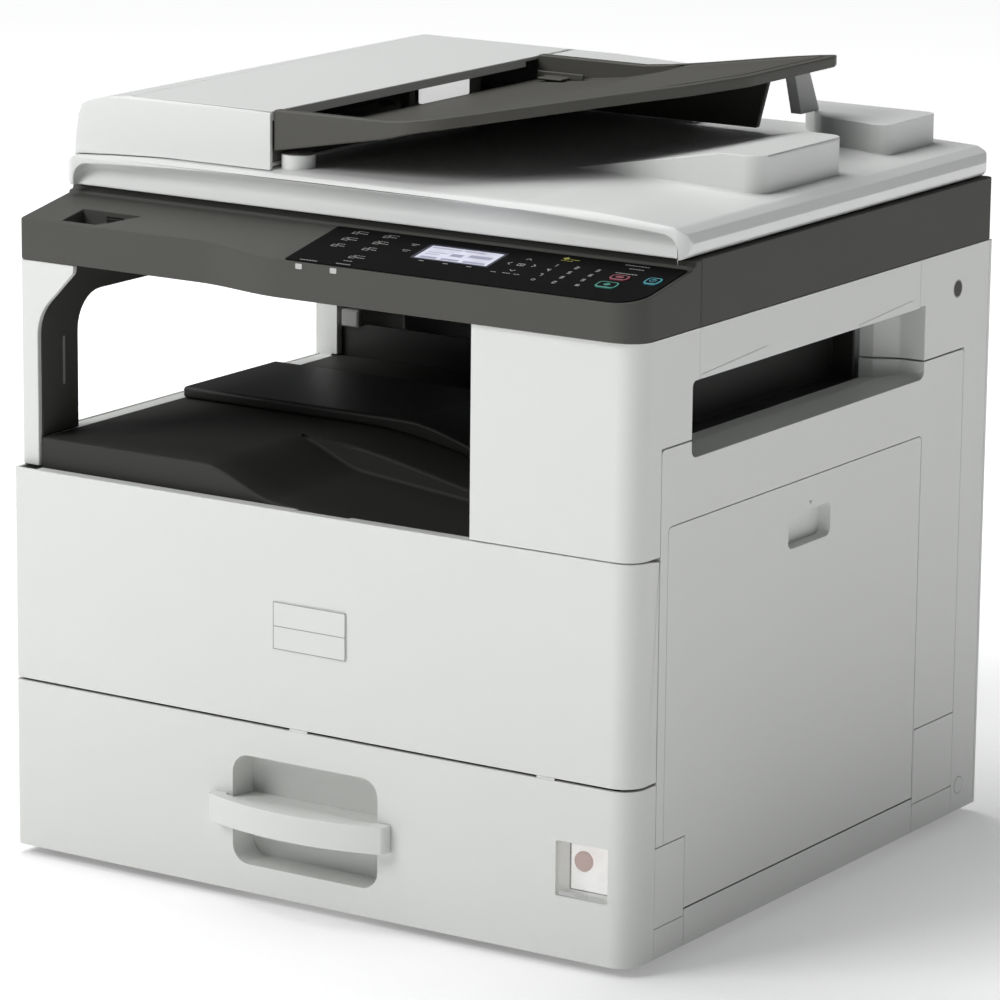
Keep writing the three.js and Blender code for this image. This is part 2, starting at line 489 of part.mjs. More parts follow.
function makeDrawer() {
  const shell = frontShell(0, DRAWER_HEIGHT, WRAP);
  const pullFace = (grow) => rectangle(PULL_X - PULL_WIDTH / 2 - grow, PULL_X + PULL_WIDTH / 2 + grow,
    PULL_Z - PULL_HEIGHT / 2 - grow, PULL_Z + PULL_HEIGHT / 2 + grow, 15 + grow, 6);
  const cup = prism('y', pullFace(2.5), WALL - 1, PULL_DEPTH + 2.5);
  const hollow = prism('y', pullFace(0), -5, PULL_DEPTH);
  const windowFace = (grow) => rectangle(SWITCH_X - WINDOW_WIDTH / 2 - grow, SWITCH_X + WINDOW_WIDTH / 2 + grow,
    SWITCH_Z - WINDOW_HEIGHT / 2 - grow, SWITCH_Z + WINDOW_HEIGHT / 2 + grow, 1.5 + grow, 3);
  const frame = prism('y', windowFace(2.5), WALL, 22);
  const opening = prism('y', windowFace(0), -5, 23);
  const ribs = [BOX_LEFT + 10, BOX_RIGHT - 10].map((x) =>
    block(x - 2, x + 2, WALL, BOX_FRONT - GAP, 12, BOX_TOP));
  add('drawer_front', cut(joined(cut(joined(shell, cup), hollow), frame, ...ribs), opening), white);

  // Handle: a bar bowed outwards over the recess, its two ends flat on the drawer front, and
  // a thin shelf from it to the back of the recess.
  const reach = HANDLE_LENGTH / 2;
  const foot = reach - 13;
  const bar = [];
  for (let k = -8; k <= 8; k++) {
    const round = Math.abs(k) === 8 ? 5 : 0;
    bar.push([HANDLE_X + (k / 8) * reach, -HANDLE_REACH + (HANDLE_REACH - HANDLE_END) * (k / 8) ** 2, round]);
  }
  bar.push([HANDLE_X + reach, -0.1], [HANDLE_X + foot, -0.1]);
  for (let k = 8; k >= -8; k--) {
    bar.push([HANDLE_X + (k / 8) * foot, -HANDLE_REACH + 7 + (HANDLE_REACH - 10) * (k / 8) ** 2]);
  }
  bar.push([HANDLE_X - foot, -0.1], [HANDLE_X - reach, -0.1]);
  const grip = prism('z', outline(bar), PULL_Z - HANDLE_HEIGHT / 2, PULL_Z + HANDLE_HEIGHT / 2);
  const barTop = PULL_Z + HANDLE_HEIGHT / 2;
  const shelf = prism('x', outline([
    [-HANDLE_REACH, barTop - 4], [PULL_DEPTH - 0.3, barTop - 7.3], [PULL_DEPTH - 0.3, barTop - 4.3],
    [-HANDLE_REACH, barTop - 0.8],
  ]), PULL_X - PULL_WIDTH / 2 + 0.4, PULL_X + PULL_WIDTH / 2 - 0.4);
  const shelfPlan = prism('z', outline([
    ...bar.slice(1, 16).map(([x, y]) => [x, y + 4.5]), [HALF, 40], [-HALF, 40],
  ]), 0, DRAWER_HEIGHT);
  add('drawer_handle', joined(grip, shelf.intersect(shelfPlan)), white);

  const tub = cut(
    block(BOX_LEFT, BOX_RIGHT, BOX_FRONT, BOX_REAR, 10, BOX_TOP),
    block(BOX_LEFT + 2, BOX_RIGHT - 2, BOX_FRONT + 2, BOX_REAR - 2, 12, BOX_TOP + 1),
  );
  add('drawer_box', tub, black);
}

const PLATE_HINGE = BOX_LEFT + 160;
const FENCE_X = PLATE_HINGE + 100;
const BOX_MIDDLE = (BOX_FRONT + BOX_REAR) / 2;
const FENCE_REST = (BOX_REAR - BOX_FRONT) * 0.33;   // half the widest paper width

function makeDrawerInside() {
  const plate = block(PLATE_HINGE, BOX_RIGHT - 6, BOX_MIDDLE - FENCE_REST - 16,
    BOX_MIDDLE + FENCE_REST + 16, 14, 16);
  const slots = [-1, 1].map((side) => {
    const from = BOX_MIDDLE + side * (FENCE_REST - 70);
    const to = BOX_MIDDLE + side * (FENCE_REST + 20);
    return block(FENCE_X - 9, FENCE_X + 39, Math.min(from, to), Math.max(from, to), 13, 17);
  });
  add('drawer_lift_plate', cut(plate, ...slots), steel);
  for (const [name, side] of [['front', -1], ['rear', 1]]) {
    const y = BOX_MIDDLE + side * FENCE_REST;
    add(`drawer_fence_${name}`, joined(
      block(FENCE_X, FENCE_X + 30, Math.min(y, y + side * 3), Math.max(y, y + side * 3), 12.5, BOX_TOP - 12),
      block(FENCE_X + 12, FENCE_X + 18, Math.min(y, y + side * 14), Math.max(y, y + side * 14), 12.5, 60),
    ), grey);
  }
  const end = BOX_LEFT + 12;
  add('drawer_end_fence', joined(
    block(end, end + 3, BOX_MIDDLE - 30, BOX_MIDDLE + 30, 12.5, BOX_TOP - 20),
    block(end - 8, end, BOX_MIDDLE - 4, BOX_MIDDLE + 4, 12.5, 60),
  ), grey);
}

function makeSwitch() {
  const w = WINDOW_WIDTH / 2 - GAP;
  const h = WINDOW_HEIGHT / 2 - GAP;
  const flap = prism('y', rectangle(SWITCH_X - w, SWITCH_X + w, SWITCH_Z - h, SWITCH_Z + h, 1.2, 3), 2.2, 4);
  const tab = block(SWITCH_X - 6, SWITCH_X + 6, 1.2, 2.4, SWITCH_Z - h + 1, SWITCH_Z - h + 3);
  add('switch_window', joined(flap, tab), clear);
  const stem = block(SWITCH_X - 7, SWITCH_X - 3, 13, 21, SWITCH_Z - 3, SWITCH_Z + 8);
  add('power_switch', joined(rod('y', 8, 11, 14, SWITCH_X - 4.5, SWITCH_Z + 5.5), stem), red);
}

// ---- output bay ----

// Top of the tray along x: level at the left, then an S down to a slope towards the exit.
function trayLine(level, from, to, drop, slope) {
  const points = [[LEFT_INNER + GAP, level]];
  for (let k = 0; k <= 8; k++) {
    const t = k / 8;
    const ease = t * t * (3 - 2 * t);
    points.push([from + (to - from) * t, level - drop * ease - slope * (to - from) * t * t * 0.5]);
  }
  const last = points[points.length - 1];
  points.push([BAY_RIGHT - GAP, last[1] - slope * (BAY_RIGHT - GAP - last[0])]);
  return points;
}

const TRAY_BOTTOM = DOOR_TOP - 28;
const TRAY_FALL = 42.25;        // fall of the tray's slope over the width of the bay
const STEP_FRONT = 200;
const STEP_REAR = BAY_REAR - 64;

function underLine(points, shift, bottom) {
  const top = points.map(([x, z]) => [x, z - shift]);
  return outline([[points[0][0], bottom], [points[points.length - 1][0], bottom], ...top.reverse()]);
}

function makeBay() {
  const left = LEFT_INNER;
  const span = BAY_RIGHT - left;
  const low = trayLine(BAY_FLOOR + 1, left + 160, left + 231, 19, TRAY_FALL / span);
  const high = trayLine(BAY_FLOOR + 1, left + 190, left + 340, 12, (1.6 * TRAY_FALL) / span);
  const zones = [[14, 140, low], [139, BAY_REAR - GAP, high]];
  const outer = joined(...zones.map(([y0, y1, line]) => prism('y', underLine(line, 0, TRAY_BOTTOM), y0, y1)));
  const inner = zones.map(([y0, y1, line]) => {
    const narrowed = line.map(([x, z], i) => [x + (i === 0 ? 3 : i === line.length - 1 ? -3 : 0), z]);
    return prism('y', underLine(narrowed, 3, TRAY_BOTTOM - 1), y0 + 3, y1 - 3);
  });
  add('output_tray', cut(outer, ...inner), black);

  const step = trayLine(BAY_FLOOR + 11.5, left + 225, left + 330, 15, (2 * TRAY_FALL) / span);
  const tooth = prism('y', underLine(step, 0, TRAY_BOTTOM), STEP_FRONT, STEP_REAR);
  const ground = prism('y', underLine(high.map(([x, z]) => [x, z + GAP]), 0, TRAY_BOTTOM - 1), 0, DEPTH);
  const slope = prism('x', outline([
    [STEP_REAR - 40, BAY_FLOOR + 12.5], [STEP_REAR + 1, BAY_FLOOR - 2], [STEP_REAR + 1, BAY_FLOOR + 20],
    [STEP_REAR - 40, BAY_FLOOR + 20],
  ]), -HALF, HALF);
  const trim = block(-HALF, left + 4, 0, DEPTH, 0, DEPTH);
  const stepEnd = step.findLast(([, z]) => z > TRAY_BOTTOM)[0];
  const trimRight = block(Math.min(stepEnd, BAY_RIGHT - 2), HALF, 0, DEPTH, 0, BODY_TOP);
  const wedges = cut(tooth, ground, slope, trim, trimRight).decompose();
  add('exit_tray_step', wedges.sort((a, b) => b.volume() - a.volume())[0], black);

  const rearWall = block(left + 1, BAY_RIGHT + WALL, BAY_REAR, BAY_REAR + SHEET, BAY_FLOOR - 20, BAY_FLOOR + 30);
  const rightWall = cut(
    block(BAY_RIGHT, BAY_RIGHT + WALL, FRAME_FRONT + SHEET + 1, BAY_REAR + SHEET, BAY_FLOOR - 20, BODY_TOP - 4),
    block(BAY_RIGHT - 1, BAY_RIGHT + WALL + 1, SLOT_FRONT + 10, BAY_REAR - 30, BAY_FLOOR + 46, BAY_FLOOR + 66),
  );
  add('bay_lining', joined(rearWall, rightWall), black);
}

// ---- scanner, platen glass and carriage ----

const GLASS = [-HALF + 68, HALF - 68, 125, DEPTH - 126];

function makeScanner() {
  const shell = prism('z', outline([
    [-HALF, PANEL_DEPTH + 0.3], [HALF, PANEL_DEPTH + 0.3], [HALF, DEPTH, 6], [-HALF, DEPTH, 6],
  ]), BAND_BOTTOM, BAND_TOP);
  const cavity = block(-HALF + 8, HALF - 8, PANEL_DEPTH + 6, DEPTH - 8, BAND_BOTTOM + WALL, BAND_TOP - 7);
  const opening = block(GLASS[0] + 4, GLASS[1] - 4, GLASS[2] + 4, GLASS[3] - 4, BAND_TOP - 10, BAND_TOP + 1);
  const ledge = block(...GLASS, BAND_TOP - 3.5, BAND_TOP + 1);
  add('scanner_housing', cut(shell, cavity, opening, ledge), dark);
  add('platen_glass', block(GLASS[0] + GAP, GLASS[1] - GAP, GLASS[2] + GAP, GLASS[3] - GAP,
    BAND_TOP - 3.5 + 0.3, BAND_TOP - 0.2), glass);
  const low = BAND_BOTTOM + WALL + 4;
  const carriage = cut(
    block(-HALF + 20, -HALF + 64, PANEL_DEPTH + 10, DEPTH - 12, low, BAND_TOP - 10),
    block(-HALF + 36, -HALF + 48, PANEL_DEPTH + 26, DEPTH - 28, low + 8, BAND_TOP),
  );
  add('scanner_carriage', carriage, black);
}

// ---- control panel ----

const PANEL_Z = BAND_BOTTOM + 30.3;       // height of the sloping top at y = 0
const PANEL_TILT = THREE.MathUtils.radToDeg(Math.atan(PANEL_SLOPE));
const onPanel = (body) => body.rotate([PANEL_TILT, 0, 0]).translate([0, 0, PANEL_Z]);

// Front edge in plan: set back at the left, an S, then forward to a round right corner.
function panelFront() {
  const points = [[-HALF, PANEL_DEPTH], [-HALF, 16]];
  for (let k = 1; k <= 3; k++) {
    const angle = Math.PI + (k / 3) * (Math.PI / 2);
    points.push([-HALF + 4 + 4 * Math.cos(angle), 16 + 4 * Math.sin(angle)]);
  }
  const from = -HALF + 176;
  const to = -HALF + 264;
  for (let k = 0; k <= 10; k++) {
    const t = k / 10;
    points.push([from + (to - from) * t, 12.5 - 15 * t * t * (3 - 2 * t)]);
  }
  for (let k = 0; k <= 6; k++) {
    const angle = 1.5 * Math.PI + (k / 6) * (Math.PI / 2);
    points.push([HALF - 24 + 24 * Math.cos(angle), 21.5 + 24 * Math.sin(angle)]);
  }
  points.push([HALF, PANEL_DEPTH]);
  return outline(points);
}

// Key places on the panel: x, distance up the slope, half width, half height.
const KEYS = {
  start_key: [HALF - 44, 27.5, 9, 6],
  stop_key: [HALF - 43, 44, 8, 5],
  power_key: [HALF - 14.5, 45, 6.5, 6.5],
};
const LCD = [70, 139, 33, 62.5];
const keyFace = ([x, v, w, h], grow) => rectangle(x - w - grow, x + w + grow, v - h - grow, v + h + grow, 4, 4);

function makePanel() {
  const slab = prism('z', panelFront(), BAND_BOTTOM, BAND_TOP + 5);
  const at = (y) => PANEL_Z + PANEL_SLOPE * y;
  const above = prism('x', outline([
    [-20, at(-20)], [76, at(76)], [77, at(76) + 2.4], [81, at(76) + 3], [82, BAND_TOP - 0.5],
    [PANEL_DEPTH + 10, BAND_TOP - 0.5], [PANEL_DEPTH + 10, BAND_TOP + 20], [-20, BAND_TOP + 20],
  ]), -HALF - 1, HALF + 1);
  const hollow = prism('x', outline([
    [22, BAND_BOTTOM + 3], [PANEL_DEPTH + 1, BAND_BOTTOM + 3], [PANEL_DEPTH + 1, at(64) - 3], [64, at(64) - 3],
    [22, at(22) - 3],
  ]), -HALF + 118, HALF - 5);
  const usbWedge = prism('y', outline([
    [-HALF + 38, at(30) - 12], [-HALF + 104, at(30) + 5], [-HALF + 104, at(60) + 5], [-HALF + 38, at(60) + 5],
  ]), 19, 46);
  const wells = Object.values(KEYS).map((key) =>
    onPanel(prism('z', keyFace(key, GAP), -6, 3)));
  const usbPort = block(-HALF + 62, -HALF + 79, 45, 58, at(45) - 11, at(45) - 4);
  add('control_panel_housing', cut(slab, above, hollow, usbWedge, usbPort, ...wells), dark);
  add('usb_socket', cut(
    block(-HALF + 62 + GAP, -HALF + 79 - GAP, 45.3, 57, at(45) - 11 + GAP, at(45) - 4 - GAP),
    block(-HALF + 64, -HALF + 77, 40, 55, at(45) - 9.5, at(45) - 7.5),
  ), black);

  // The key sheet lies on the slope; its right end follows the panel's round corner.
  const left = -HALF + 269;
  const outlineOf = outline([
    [left, -1.2, 2], [HALF - 2.2, -1.2, 23], [HALF - 2.2, 75.5, 3], [left - 2, 75.5, 2],
  ], 6);
  const sheet = prism('z', outlineOf, 0.3, 0.3 + SHEET_THICK);
  const keyHoles = Object.values(KEYS).map((key) => prism('z', keyFace(key, GAP), -1, 3));
  const lcdHole = prism('z', rectangle(...LCD, 1.5, 2), -1, 3);
  add('key_sheet', onPanel(cut(sheet, lcdHole, ...keyHoles)), black);
  const lcd = prism('z', rectangle(LCD[0] + 0.3, LCD[1] - 0.3, LCD[2] + 0.3, LCD[3] - 0.3, 1.2, 2), 0.3, 0.8);
  add('lcd_window', onPanel(lcd), screen);
  const paints = { start_key: green, stop_key: red, power_key: blue };
  for (const [name, key] of Object.entries(KEYS)) {
    const cap = prism('z', keyFace(key, 0), -1.6, 0.3 + SHEET_THICK + KEY_TRAVEL);
    add(name, onPanel(cap), paints[name]);
  }
}

// ---- platen cover ----

const HINGE_Y = DEPTH + 4;
const HINGE_Z = BAND_TOP + 12;
const HINGE_X = HALF - 104;
const LID_FRONT = 68;
const LID_REAR = DEPTH - 5;
const crown = (x) => LID_TOP - 7.5 * Math.abs(x / HALF) ** 3;

function makePlatenCover() {
  const low = LID_BOTTOM;
  const acrossX = [[-HALF + 7, low], [HALF - 7, low], [HALF - 2, low + 4], [HALF, low + 12],
    [HALF - 3, low + 19.5]];
  for (let k = 8; k >= -8; k--) {
    const x = (k / 8) * (HALF - 12);
    acrossX.push([x, crown(x)]);
  }
  acrossX.push([-HALF + 3, low + 19.5], [-HALF, low + 12], [-HALF + 2, low + 4]);
  const alongY = [
    [LID_FRONT + 0.5, low], [LID_REAR - 3, low], [LID_REAR, low + 5], [LID_REAR, low + 16],
    [LID_REAR - 3, low + 24], [LID_REAR - 12, low + 29.5], [LID_REAR - 24, LID_TOP],
    [LID_FRONT + 20, LID_TOP], [LID_FRONT + 9, LID_TOP - 1], [LID_FRONT + 3.5, LID_TOP - 3.2],
    [LID_FRONT + 0.6, LID_TOP - 6.5], [LID_FRONT, LID_TOP - 10],
  ];
  const plan = rectangle(-HALF, HALF, LID_FRONT, LID_REAR, 12, 5);
  const slab = prism('y', outline(acrossX), LID_FRONT - 1, LID_REAR + 1)
    .intersect(prism('x', outline(alongY), -HALF - 1, HALF + 1))
    .intersect(prism('z', plan, low - 1, LID_TOP + 1));
  // Hollow front: a cove under a round bead that also frames its two ends.
  const cove = prism('x', outline([
    [LID_FRONT - 5, low - 1], [LID_FRONT + 5.5, low - 1], [LID_FRONT + 6, low + 2], [LID_FRONT + 10.5, low + 8],
    [LID_FRONT + 12, low + 13], [LID_FRONT + 11, low + 19], [LID_FRONT + 8.5, low + 23],
    [LID_FRONT + 5, low + 25.5], [LID_FRONT - 5, low + 25.5],
  ]), -HALF, HALF);
  const beadLine = [];
  for (let k = 7; k >= -7; k--) beadLine.push([(k / 8) * HALF, crown((k / 8) * HALF) - 6.8]);
  const coveFace = prism('y', outline([
    [-HALF + 11, low - 20], [HALF - 9, low - 20], [HALF - 9, crown(HALF - 9) - 6.8, 13], ...beadLine,
    [-HALF + 11, crown(HALF - 11) - 6.8, 13],
  ], 5), LID_FRONT - 5, LID_FRONT + 20);
  // Document stops: two blocks that rise towards the right.
  const front = [HALF - 199.5, HALF - 27.5, DEPTH * 0.4, DEPTH * 0.638];
  const frontStop = prism('z', outline([
    [front[0], front[2]], [front[1], front[2], 16], [front[1], front[3], 14], [front[0], front[3]],
  ], 5), LID_TOP - 8, LID_TOP + 26).intersect(prism('y', outline([
    [front[0], LID_TOP - 8], [front[1], LID_TOP - 8], [front[1], LID_TOP + 24.5, 3],
    [front[1] - 36, LID_TOP + 24.5, 20], [front[0], LID_TOP - 0.3],
  ]), 0, DEPTH));
  const rear = [DEPTH - 110, DEPTH - 26];
  const rearStop = prism('z', outline([
    [HALF - 57, rear[0], 12], [HALF - 39.5, rear[0], 12], [HALF - 39.5, rear[1], 10], [HALF - 165, rear[1], 4],
    [HALF - 150, rear[0] + 60, 30], [HALF - 105, rear[0] + 8, 40],
  ], 5), LID_TOP - 8, LID_TOP + 20);
  const rest = rod('z', 13.5, LID_TOP - 2, LID_TOP + 11, -HALF + 214.5, 94);
  const arms = [];
  for (const side of [-1, 1]) {
    for (const step of [-19, 19]) {
      const x = side * HINGE_X + step;
      const arm = prism('x', outline([
        [LID_REAR - 6, HINGE_Z - 6], [HINGE_Y + 6, HINGE_Z - 6, 6], [HINGE_Y + 6, HINGE_Z + 6, 6],
        [LID_REAR - 6, HINGE_Z + 6],
      ]), x - 4, x + 4);
      arms.push(cut(arm, rod('x', 3, x - 5, x + 5, HINGE_Y, HINGE_Z, 12)));
    }
  }
  const under = block(-HALF + 12, HALF - 12, LID_FRONT + 20, LID_REAR - 14, low - 1, low + 6);
  const body = cut(slab, cove.intersect(coveFace), under);
  return add('platen_cover', joined(body, frontStop, rearStop, rest, ...arms), white);
}

function makeHinges() {
  for (const [side, sign] of [['left', -1], ['right', 1]]) {
    const x = sign * HINGE_X;
    const bracket = prism('x', outline([
      [DEPTH + 0.4, HINGE_Z - 50, 1], [DEPTH + HINGE_REACH, HINGE_Z - 46, 3], [DEPTH + HINGE_REACH, HINGE_Z + 4, 5],
      [DEPTH - 3, HINGE_Z + 6, 4], [DEPTH - 3, BAND_TOP + 0.4], [DEPTH + 0.4, BAND_TOP + 0.4],
    ]), x - 14, x + 14);
    const pin = rod('x', 2.5, x - 22.5, x + 22.5, HINGE_Y, HINGE_Z, 12);
    add(`platen_hinge_${side}`, joined(bracket, pin), steel);
  }
}

// ---- document feeder ----

const FEEDER_LEFT = -HALF + 8;
const FEEDER_RIGHT = FEEDER_LEFT + FEEDER_WIDTH;
const FEEDER_FRONT = 74;
const FEEDER_REAR = DEPTH - 14;
const TRAY_BACK = DEPTH - 88;
const THROAT = FEEDER_RIGHT - 60;         // how far the open throat reaches under the lip

function makeFeeder(platen) {
  const filled = [];
  for (let k = 8; k >= -8; k--) filled.push([(k / 8) * (HALF - 8), crown((k / 8) * (HALF - 8)) - 3]);
  const infill = prism('y', outline([[-HALF + 8, LID_BOTTOM], [HALF - 8, LID_BOTTOM], ...filled]),
    LID_FRONT + 2, LID_FRONT + 25);
  const seat = joined(platen, infill).translate([0, 0, 0.8]);
  const sideLine = [
    [FEEDER_RIGHT, LID_TOP - 9], [FEEDER_RIGHT, FEEDER_TOP - 0.3, 1], [FEEDER_LEFT + 95, FEEDER_TOP],
    [FEEDER_LEFT + 56, FEEDER_TOP - 0.8], [FEEDER_LEFT + 36, FEEDER_TOP - 2.6], [FEEDER_LEFT + 16, FEEDER_TOP - 7],
    [FEEDER_LEFT + 8, FEEDER_TOP - 11], [FEEDER_LEFT + 4.5, FEEDER_TOP - 18], [FEEDER_LEFT + 1.7, FEEDER_TOP - 34],
    [FEEDER_LEFT, LID_TOP - 9],
  ];
  const depthLine = [
    [FEEDER_FRONT, LID_TOP - 9], [FEEDER_FRONT, FEEDER_TOP - 3.5], [FEEDER_FRONT + 1.1, FEEDER_TOP - 1],
    [FEEDER_FRONT + 3.5, FEEDER_TOP], [FEEDER_REAR - 34, FEEDER_TOP], [FEEDER_REAR - 16, FEEDER_TOP - 3],
    [FEEDER_REAR - 5, FEEDER_TOP - 11], [FEEDER_REAR, FEEDER_TOP - 24], [FEEDER_REAR, LID_TOP - 9],
  ];
  const outer = prism('y', outline(sideLine), FEEDER_FRONT - 1, FEEDER_REAR + 1)
    .intersect(prism('x', outline(depthLine), -HALF, HALF));
  const inside = (x) => Math.max(x, FEEDER_LEFT + 1.7 + WALL);
  const innerLine = sideLine.map(([x, z]) => [inside(x + (x > 0 ? 0 : 1)), z - WALL]);
  innerLine[0] = [FEEDER_RIGHT + 1, LID_TOP - 20];
  innerLine[1] = [FEEDER_RIGHT + 1, FEEDER_TOP - WALL];
  innerLine[innerLine.length - 1] = [FEEDER_LEFT + 1.7 + WALL, LID_TOP - 20];
  const innerDepth = [
    [FEEDER_FRONT + WALL, LID_TOP - 20], [FEEDER_FRONT + WALL, FEEDER_TOP - WALL],
    [FEEDER_REAR - 36, FEEDER_TOP - WALL], [FEEDER_REAR - 18, FEEDER_TOP - WALL - 3],
    [FEEDER_REAR - 8.5, FEEDER_TOP - WALL - 10], [FEEDER_REAR - WALL, FEEDER_TOP - WALL - 22],
    [FEEDER_REAR - WALL, LID_TOP - 20],
  ];
  const inner = prism('y', outline(innerLine), FEEDER_FRONT, FEEDER_REAR)
    .intersect(prism('x', outline(innerDepth), -HALF, HALF));
  const lip = block(FEEDER_RIGHT - 3, FEEDER_RIGHT, FEEDER_FRONT + 1, TRAY_BACK - 26, FEEDER_TOP - LIP, FEEDER_TOP - 2);
  const cover = cut(joined(cut(outer, inner), lip), seat);
  add('adf_top_cover', cover, white);

  // Feeder base: floor plate, and the cover behind the input tray.
  const room = GAP + 0.1;
  const floor = block(FEEDER_LEFT + 12, FEEDER_RIGHT - 2, FEEDER_FRONT + WALL + room,
    FEEDER_REAR - WALL - room, LID_TOP - 9, LID_TOP + 4);
  const backEnd = FEEDER_RIGHT + 150;
  const backTop = (x) => FEEDER_TOP - 3 - 3 * (x / 60);
  const rearArm = prism('y', outline([
    [FEEDER_RIGHT + room, LID_TOP - 9], [backEnd, LID_TOP - 9], [backEnd, LID_TOP + 14, 6],
    [backEnd - 24, backTop(55) - 1.5, 20], [FEEDER_RIGHT + 100, backTop(40), 30], [FEEDER_RIGHT + room, backTop(-30)],
  ]), TRAY_BACK + 1, FEEDER_REAR).intersect(prism('x', outline(depthLine), -HALF, HALF));
  const bridge = block(FEEDER_RIGHT - 20, FEEDER_RIGHT + 30, TRAY_BACK + 2, FEEDER_REAR - WALL - room,
    LID_TOP - 9, LID_TOP + 4);
  add('adf_body', cut(joined(floor, rearArm, bridge), seat), white);

  // Feed deck: dark ramp inside the throat, closed at the front beside the tray.
  const deckLow = LID_TOP + 4 + GAP;
  const ramp = prism('y', outline([
    [FEEDER_LEFT + 26, deckLow], [FEEDER_RIGHT - 0.8, deckLow], [FEEDER_RIGHT - 0.8, LID_TOP + 16],
    [THROAT, LID_TOP + 14], [THROAT - 24, LID_TOP + 20], [FEEDER_LEFT + 40, LID_TOP + 24],
    [FEEDER_LEFT + 26, LID_TOP + 18],
  ]), FEEDER_FRONT + WALL + 1.5, TRAY_BACK - 4);
  const rollerPocket = rod('y', FEED_ROLLER_RADIUS + 2, FEEDER_FRONT + 130, TRAY_BACK - 130,
    THROAT - 10, LID_TOP + 26);
  const posts = [184, 86].map((step) => block(FEEDER_RIGHT - 20, FEEDER_RIGHT - 11,
    TRAY_BACK - step, TRAY_BACK - step + 8, LID_TOP + 12, FEEDER_TOP - LIP - 1.5));
  const back = block(THROAT - 20, FEEDER_RIGHT - 20, TRAY_BACK - 82, TRAY_BACK - 78,
    LID_TOP + 12, FEEDER_TOP - LIP - 1.5);
  add('adf_feed_deck', joined(cut(ramp, rollerPocket), cut(joined(...posts, back), rollerPocket)), dark);
  add('adf_feed_roller', rod('y', FEED_ROLLER_RADIUS - 4, FEEDER_FRONT + 132, TRAY_BACK - 132,
    THROAT - 10, LID_TOP + 26, 20), rubber);
}

// Input tray: a plate with a raised rim, level at the feeder, then rising to its tip. In plan
// its front edge runs straight, then slants back to the narrow right end.
const TRAY_LEFT = FEEDER_RIGHT + 0.6;
const TRAY_RIGHT = HALF - 95;
const TRAY_FRONT = 77;

function trayEdge(x) {
  const t = THREE.MathUtils.clamp((x - TRAY_LEFT - 105) / (TRAY_RIGHT - TRAY_LEFT - 105), 0, 1);
  return FEEDER_TOP + 0.7 + (TRAY_RISE - 0.7) * (t * t * (3 - 2 * t) * 0.35 + t * 0.65);
}

